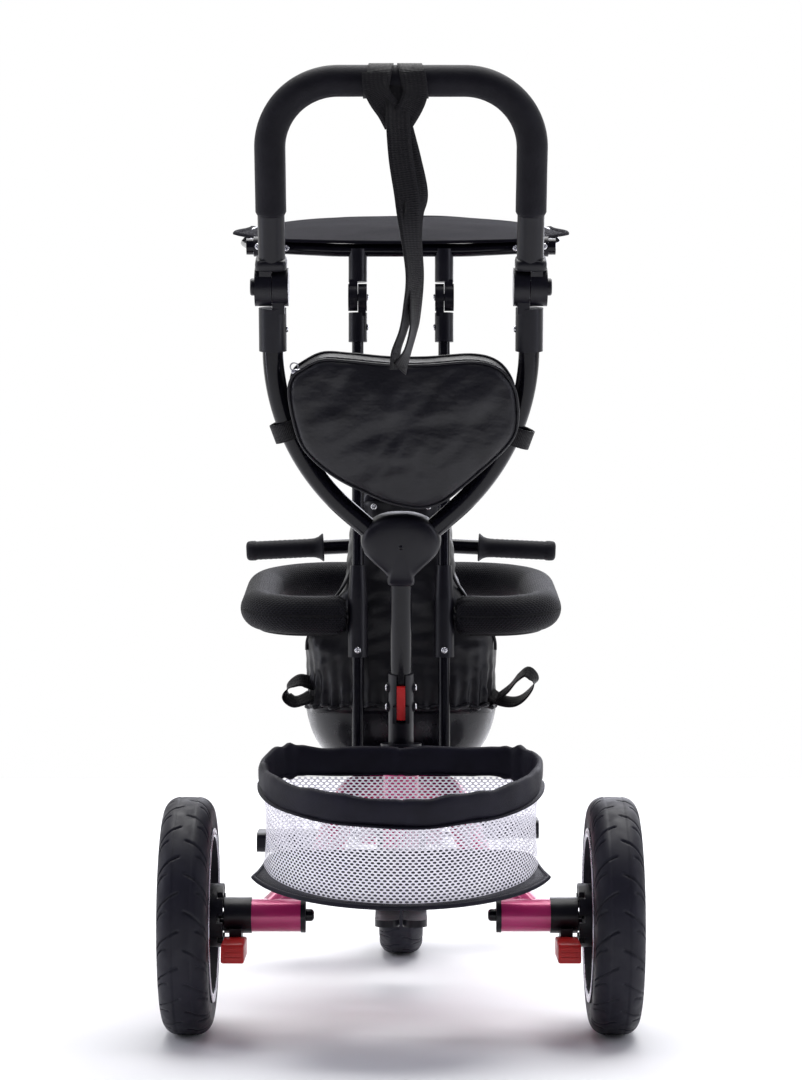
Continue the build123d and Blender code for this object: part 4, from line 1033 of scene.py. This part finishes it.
# ---- canopy -------------------------------------------------------------------------------------
def canopy_surface(u, v):
    """A place on the canopy: u from -1 to 1 across, v from 0 at the rear to 1 at the front."""
    spread = 154 + 34 * smooth_step(v, 0.0, 0.3)
    front = smooth_step(v, 0.86, 1.0)
    spread -= 26 * front ** 2 + 9 * smooth_step(v, 0.32, 0.86)
    x = u * spread * MM
    y = (-9.5 + 349 * v - 22 * abs(u) ** 3 * front) * MM
    z = 8.4 + 7 * (1 - abs(u) ** 2.4) * (1 - math.exp(-(v / 0.3) ** 2))
    z -= 3.0 * (1 - u * u) * math.exp(-v / 0.12) + 0.6 * math.exp(-(v / 0.02) ** 2) + 4 * front ** 2
    z -= 7 * abs(u) ** 4 * smooth_step(v, 0.2, 0.95)
    z += waver(x, y, 0, 0.07) * 1.2 * (1 - abs(u) ** 4) * smooth_step(v, 0.02, 0.2)
    return Vector((x, y, z * MM))


def make_canopy():
    rows, columns = 64, 72
    made = grid("canopy_sheet", rows, columns, lambda i, j: canopy_surface(2 * j - 1, i), "canopy_cloth",
                scale=(0.35, 0.37))
    thicken(made, 1.1 * MM, 1)
    made.data.transform(CANOPY)
    apply_modifiers(made)
    hinge = joint_place("hoop_fold")
    start, end = hinge + Vector((0, 2 * MM, 0)), hinge + Vector((0, 42 * MM, 8 * MM))
    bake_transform(made)
    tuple(start)
    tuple(end)
    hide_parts("canopy_cover")
    steps = 46
    line = [canopy_surface(2 * k / steps - 1, 1) for k in range(steps)]
    line += [canopy_surface(1, 1 - k / steps) for k in range(steps)]
    line += [canopy_surface(1 - 2 * k / steps, 0) for k in range(steps)]
    line += [canopy_surface(-1, k / steps) for k in range(steps)]
    hem = sweep("canopy_binding", line, [(-2.4 * MM, -1.1 * MM), (2.4 * MM, -1.1 * MM), (2.8 * MM, 0.6 * MM),
                                         (2.0 * MM, 2.3 * MM), (-2.0 * MM, 2.3 * MM), (-2.8 * MM, 0.6 * MM)],
                "canopy_cloth", closed=True)
    hem.data.transform(CANOPY)
    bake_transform(hem)
    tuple(start)
    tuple(end)


# ---- basket -------------------------------------------------------------------------------------
def basket_line(grow=0.0, corner=24, count=None, step=4):
    """The basket's D-shaped plan in its own frame: straight at the front and round at the rear."""
    half, front, knee, rear = 147 + grow, 105 + grow, 58, -105 - grow
    points = []
    turns = 60
    for k in range(turns + 1):
        a = -math.pi * k / turns
        points.append(Vector((half * math.cos(a), knee + (knee - rear) * math.sin(a), 0)))
    points = points[1:-1]
    right = [Vector((half - corner * (1 - math.cos(a)), front - corner * (1 - math.sin(a)), 0))
             for a in (math.pi / 2 * k / 8 for k in range(9))]
    left = [Vector((-p.x, p.y, 0)) for p in reversed(right)]
    whole = left + list(reversed(points)) + right
    whole = [Vector((p.x * MM, p.y * MM, 0)) for p in whole]
    total = path_length(whole, True)
    count = count or int(total / (step * MM))
    walked, out, k = 0.0, [], 0
    spots = [total * n / count for n in range(count)]
    for a, b in zip(whole, whole[1:] + whole[:1]):
        run = (b - a).length
        while k < count and spots[k] <= walked + run:
            out.append(a.lerp(b, (spots[k] - walked) / run if run else 0))
            k += 1
        walked += run
    return out, total


def make_basket_rim():
    """Puffed fabric band round the basket's top, creased at its corners and seamed behind."""
    points, _ = basket_line(-4.5, 42, step=3)
    section = soft_oblong(28, 5.6 * MM, 15 * MM, 0.75, 0.6)

    def shape(t, k):
        point = points[min(int(t * (len(points) - 1)), len(points) - 1)]
        angle = k * TAU
        soft = waver(point.x, point.y, math.sin(angle) * 0.016, 0.028) * 0.24
        soft -= 0.16 * math.exp(-((abs(point.x) - 0.143) / 0.010) ** 2)
        corner = math.exp(-((abs(point.x) - 0.122) / 0.014) ** 2) * (1 if point.y > 0.06 else 0)
        crease = corner * (0.12 * math.sin(point.x * 420) + 0.24)
        seam = -0.10 * math.exp(-(point.x / 0.0022) ** 2) if abs(point.x) < 0.02 else 0.0
        return 1 + soft + crease + seam

    path = [Vector((p.x, p.y, 97 * MM + 0.024 * (p.y + 0.105) + 1.5 * MM * waver(p.x, p.y, 0, 0.06)))
            for p in points]
    made = sweep("basket_band", path, section, "band_cloth", closed=True, shape=shape)
    settle(made, "frame", "band_cloth", "basket_rim", matrix=BASKET)
    stitches = sweep("basket_band_hem", [p + Vector((0, 0, -13.6 * MM)) for p in path],
                     strip(6.4 * MM, -0.9 * MM, 0.9 * MM), "band_cloth", closed=True)
    settle(stitches, "frame", "band_cloth", matrix=BASKET)


NET_PITCH, NET_ROW = 6.3 * MM, 2.95 * MM


def make_basket_net():
    """White polyester net with its real holes, a strip round the basket between the band and the floor."""
    low, high = 5.5 * MM, 88 * MM
    rows = int((high - low) / NET_ROW)
    _, total = basket_line(-4.2, 36, step=2)
    cells = round(total / NET_PITCH)
    points, _ = basket_line(-4.2, 36, count=cells * 4)
    whole = cells * 4

    def wall(a, z):
        a %= whole
        i = int(a)
        p = points[i].lerp(points[(i + 1) % whole], a - i)
        up = (z - low) / (high - low)
        waist = 1 - 0.02 * math.sin(up * math.pi)
        soft = 1 + 0.008 * waver(p.x * 1.5, p.y * 1.5, z, 0.05)
        return Vector((p.x * waist * soft, p.y * waist * soft, z))

    verts, faces, uvs, spots = [], [], [], {}

    def knot(half_column, row):
        """The shared vertex at a place counted in half columns and rows."""
        key = (half_column % (cells * 2), row)
        if key not in spots:
            spots[key] = len(verts)
            verts.append(wall(half_column * 2, low + row * NET_ROW))
            uvs.append((half_column * NET_PITCH / 2, row * NET_ROW))
        return spots[key]

    for row in range(rows):
        for cell in range(cells):
            h = cell * 2 + row % 2
            rim = [knot(h + 2, row + 0.5), knot(h + 2, row + 1), knot(h + 1, row + 1), knot(h, row + 1),
                   knot(h, row + 0.5), knot(h, row), knot(h + 1, row), knot(h + 2, row)]
            inner = []
            for k in range(8):
                a = TAU * k / 8
                reach = 1.0 if k % 2 == 0 else 1.04
                inner.append(len(verts))
                verts.append(wall(h * 2 + 2 + 4 * 0.335 * math.cos(a) * reach,
                                  low + (row + 0.5 + 0.395 * math.sin(a) * reach) * NET_ROW))
                uvs.append(((h + 1 + 0.62 * math.cos(a)) * NET_PITCH / 2,
                            (row + 0.5 + 0.36 * math.sin(a)) * NET_ROW))
            for k in range(8):
                faces.append((rim[k], rim[(k + 1) % 8], inner[(k + 1) % 8], inner[k]))
    made = add_mesh("basket_mesh", verts, faces, "net", uvs)
    settle(made, "frame", "net", "basket_net", matrix=BASKET)


def floor_outline():
    """The floor's plan: an arc behind that ends in a point on each side, and a straight front edge."""
    half, knee, rear = 151, 4, -108
    radius = (half ** 2 + (knee - rear) ** 2) / (2 * (knee - rear))
    start = math.asin(half / radius)
    points = [(radius * math.sin(a), rear + radius * (1 - math.cos(a)))
              for a in (start * (k / 40 - 1) for k in range(81))]
    points += [(146, 24), (142.5, 45), (140, 66), (137, 84), (128, 97), (112, 104), (60, 106), (0, 106)]
    points += [(-x, y) for x, y in reversed(points[-8:-1])]
    return [Vector((x * MM, y * MM, 0)) for x, y in points]


def make_basket_floor():
    """Stiffened floor panel with piping and pointed front corners."""
    points = floor_outline()
    rings = 10
    verts = []
    for i in range(rings):
        share = 1 - i / rings
        for p in points:
            z = 4.2 * MM + waver(p.x * share, p.y * share, 0, 0.05) * 1.2 * MM * (1 if i else 0)
            verts.append(Vector((p.x * share, p.y * share, z)))
    count = len(points)
    faces = bands(rings, count)
    verts.append(Vector((0, 0, 4.2 * MM)))
    last = (rings - 1) * count
    faces += [(last + k, last + (k + 1) % count, len(verts) - 1) for k in range(count)]
    made = add_mesh("basket_base", verts, faces, "band_cloth")
    thicken(made, 3.4 * MM, -1 if made.data.polygons[0].normal.z > 0 else 1)
    settle(made, "frame", "band_cloth", "basket_floor", matrix=BASKET)
    path = [Vector((p.x, p.y, 3 * MM)) for p in points]
    piping = sweep("basket_piping", path, circle(2.4 * MM, 12), "band_cloth", closed=True)
    settle(piping, "frame", "band_cloth", matrix=BASKET)


# ---- seat ---------------------------------------------------------------------------------------
def make_seat_bucket():
    """Glossy moulded pan: a bowl whose plan is a soft rectangle."""
    levels = [(274, 50, 60), (274.5, 70, 86), (277, 80, 98), (283, 89, 107), (295, 98, 113), (312, 105, 117),
              (330, 109, 118.5), (343, 110, 119), (345.5, 109, 118), (346, 107.5, 116.5)]
    around = 96
    middle = at(146 + 119)
    verts = []
    for z, half, depth in levels:
        for k, (x, y) in enumerate(soft_oblong(around, half * MM, depth * MM, 0.62, 0.62)):
            at_front = math.sin(TAU * k / around) > 0.2
            dip = 20 * MM * smooth_step(z, 300, 345) * math.exp(-(x / 0.055) ** 2) if at_front else 0.0
            verts.append(Vector((x, middle + y, z * MM - dip)))
    faces = bands(len(levels), around) + caps(len(levels), around)[:1]
    made = add_mesh("seat_bucket", verts, faces, "seat_plastic")
    thicken(made, 4 * MM, -1)
    sub = made.modifiers.new("soft", "SUBSURF")
    sub.levels = sub.render_levels = 1
    settle(made, "frame", "seat_plastic", "seat_shell")


def seat_back_point(u, z, gap=0.0, wing=40):
    """A place on the backrest: u from -1 to 1 across, z in mm, gap outwards in mm."""
    half = 102 - 44 * smooth_step(z, 405, 490) - 8 * smooth_step(z, 490, 590)
    top = smooth_step(z, 560, 597)
    half -= 16 * top ** 2
    reach = abs(u)
    x = math.copysign((half + gap) * math.sin(min(reach, 1) * math.pi / 2) ** 0.92, u)
    y = 146 + wing * reach ** 3.2 - gap * (1 - reach ** 3)
    return Vector((x * MM, at(y), z * MM))


def make_seat_back():
    low, high = 330, 595
    made = grid("seat_backrest", 40, 48, lambda i, j: seat_back_point(2 * j - 1, low + (high - low) * i),
                "seat_plastic", scale=(0.26, 0.2))
    thicken(made, 4 * MM, 1)
    settle(made, "frame", "seat_plastic")


def make_seat_cover():
    """Fabric back of the cover with wrinkles, and a gathered elastic hem along its lower edge."""
    low, high = 338, 566

    def place(i, j):
        u = 2 * j - 1
        z = low + (high - low) * i
        gather = math.exp(-(i * (high - low)) / 26)
        pleats = (math.sin(u * 58 + 3 * waver(u, 0, 1, 0.3)) * 2.3 + waver(u * 3, i, 4, 0.2) * 2) * gather
        folds = waver(u * 0.12 + i * 0.05, z * MM, 2, 0.035) * 3.4 * (1 - abs(u) ** 4)
        folds += waver(u * 0.1 - i * 0.09, z * MM * 1.6, 7, 0.018) * 1.5
        bulge = 2.4 + 3 * math.sin(math.pi * min(1, i * 1.4)) + pleats + folds
        point = seat_back_point(u, z, max(0.9, bulge), 41)
        point.z += 3 * MM * math.sin(u * 29) * gather * 0.7
        return point

    made = grid("seat_back_cover", 90, 150, place, "seat_cloth", scale=(0.2, 0.24))
    thicken(made, 0.8 * MM, 1)
    settle(made, "frame", "seat_cloth", "seat_cover")
    hem_line = [place(0.0, j / 120) + Vector((0, -0.6 * MM, 0)) for j in range(121)]
    hem = sweep("seat_cover_hem", hem_line, circle(2.3 * MM, 10), "seat_cloth",
                shape=lambda t, k: 1 + 0.22 * math.sin(t * 190))
    settle(hem, "frame", "seat_cloth")
    for label, side in (("left", -1), ("right", 1)):
        line = []
        for k in range(31):
            t = k / 30
            z = 400 + 118 * t
            u = side * (0.86 - 0.34 * t ** 2)
            line.append(seat_back_point(u, z, 6.2, 41))
        piping = sweep(f"seat_cover_piping_{label}", line, circle(1.7 * MM, 8), "seat_cloth")
        settle(piping, "frame", "seat_cloth")


def make_seat_liner():
    """Quilted liner: a back pad with cross channels and a seat pad."""
    def back(i, j):
        u, z = 2 * j - 1, 345 + 232 * i
        channel = abs(math.sin(i * math.pi * 4)) ** 0.4
        puff = (7 + 6 * channel) * (1 - abs(u) ** 4) * (1 - (2 * i - 1) ** 8)
        point = seat_back_point(u * 0.86, z, -5.5, 40)
        point.y += puff * MM
        return point

    made = grid("seat_back_pad", 64, 48, back, "seat_cloth", scale=(0.24, 0.18))
    thicken(made, 3 * MM, 1)
    settle(made, "frame", "seat_cloth")
    middle = at(146 + 122)

    def base(i, j):
        u, v = 2 * j - 1, 2 * i - 1
        x, y = u * math.sqrt(1 - v * v / 2.6) * 88, v * math.sqrt(1 - u * u / 2.6) * 100
        seam = abs(math.sin((v + 1) * math.pi * 1.5)) ** 0.5
        puff = (1 - u ** 6) * (1 - v ** 6) * (7 + 5 * seam)
        return Vector((x * MM, middle + y * MM, (285 + puff) * MM))

    pad = grid("seat_base_pad", 48, 40, base, "seat_cloth", scale=(0.2, 0.17))
    thicken(pad, 5 * MM, -1)
    settle(pad, "frame", "seat_cloth")


def make_harness():
    """Shoulder, waist and crotch straps that meet in a buckle, and the loose tabs beside the seat."""
    width, thick = 20 * MM, 1.3 * MM
    buckle = Vector((0, at(262), 330 * MM))
    across = Vector((1, 0, 0))
    routes = {
        "left_shoulder": [(-34, 172, 520), (-32, 178, 470), (-27, 188, 410), (-19, 220, 358), (-8, 252, 334)],
        "right_shoulder": [(34, 172, 520), (32, 178, 470), (27, 188, 410), (19, 220, 358), (8, 252, 334)],
        "crotch": [(0, 318, 300), (0, 305, 308), (0, 288, 320), (0, 270, 328)],
    }
    for name, points in routes.items():
        centres = [(x * MM, at(y), z * MM) for x, y, z in points]
        made = ribbon(f"{name}_strap", centres, [across] * len(points), width, thick, "webbing", 60, 0.5 * MM)
        settle(made, "frame", "webbing", *(["harness_straps"] if name == "crotch" else []))
        path_length(curve_through(centres, 60))
    for label, side in (("left", -1), ("right", 1)):
        points = [(side * 92, 205, 322), (side * 70, 222, 318), (side * 40, 245, 324), (side * 14, 260, 330)]
        centres = [(x * MM, at(y), z * MM) for x, y, z in points]
        made = ribbon(f"{label}_waist_strap", centres, [Vector((0, 0.25, 1))] * 4, width, thick,
                      "webbing", 50)
        settle(made, "frame", "webbing")
        path_length(curve_through(centres, 50))
    profile = [(-9, 6), (-8.5, 13), (-7, 16.5), (-4, 18), (4, 18), (7, 16.5), (8.5, 13), (9, 6)]
    turn = Matrix.Translation(buckle) @ Matrix.Rotation(math.radians(60), 4, "X")
    turn = turn @ Matrix.Rotation(math.pi / 2, 4, "Y")
    body = turned("harness_buckle", [(x * 0.62 * MM, r * MM) for x, r in profile], "black_plastic", turn, 40)
    settle(body, "frame", "black_plastic")
    button = turned("buckle_button", [(-0.008, 0.004), (-0.0078, 0.0062), (-0.006, 0.007), (0.0, 0.007)],
                    "red_plastic", turn, 32)
    settle(button, "frame", "red_plastic")
    make_side_tabs()


def make_side_tabs():
    """The two ends of the seat's belt that show beside the bucket."""
    left = [(-98, 168, 362), (-112, 160, 366), (-124, 156, 360), (-128, 155, 350), (-120, 157, 343),
            (-108, 160, 345), (-99, 166, 350)]
    right = [(99, 168, 352), (112, 160, 344), (128, 154, 343), (141, 151, 352), (149, 150, 366),
             (141, 152, 376), (131, 155, 370), (119, 159, 356), (101, 166, 342)]
    for label, points in (("left", left), ("right", right)):
        centres = [(x * MM, at(y), z * MM) for x, y, z in points]
        made = ribbon(f"{label}_belt_end", centres, [Vector((0.3, 0.75, 0.6))] * len(points), 18 * MM,
                      1.2 * MM, "webbing", 70)
        settle(made, "frame", "webbing")
        path_length(curve_through(centres, 70))


make_camera()
make_studio()
make_floor()
paint_frame()
make_wheels()
make_brake_pedals()
make_ring()
make_loop_foam()
make_grips()
make_wrist_strap()
make_junction()
make_joint_collars()
make_bag()
make_canopy()
make_basket_rim()
make_basket_net()
make_basket_floor()
make_seat_bucket()
make_seat_back()
make_seat_cover()
make_seat_liner()
make_harness()
make_screws()
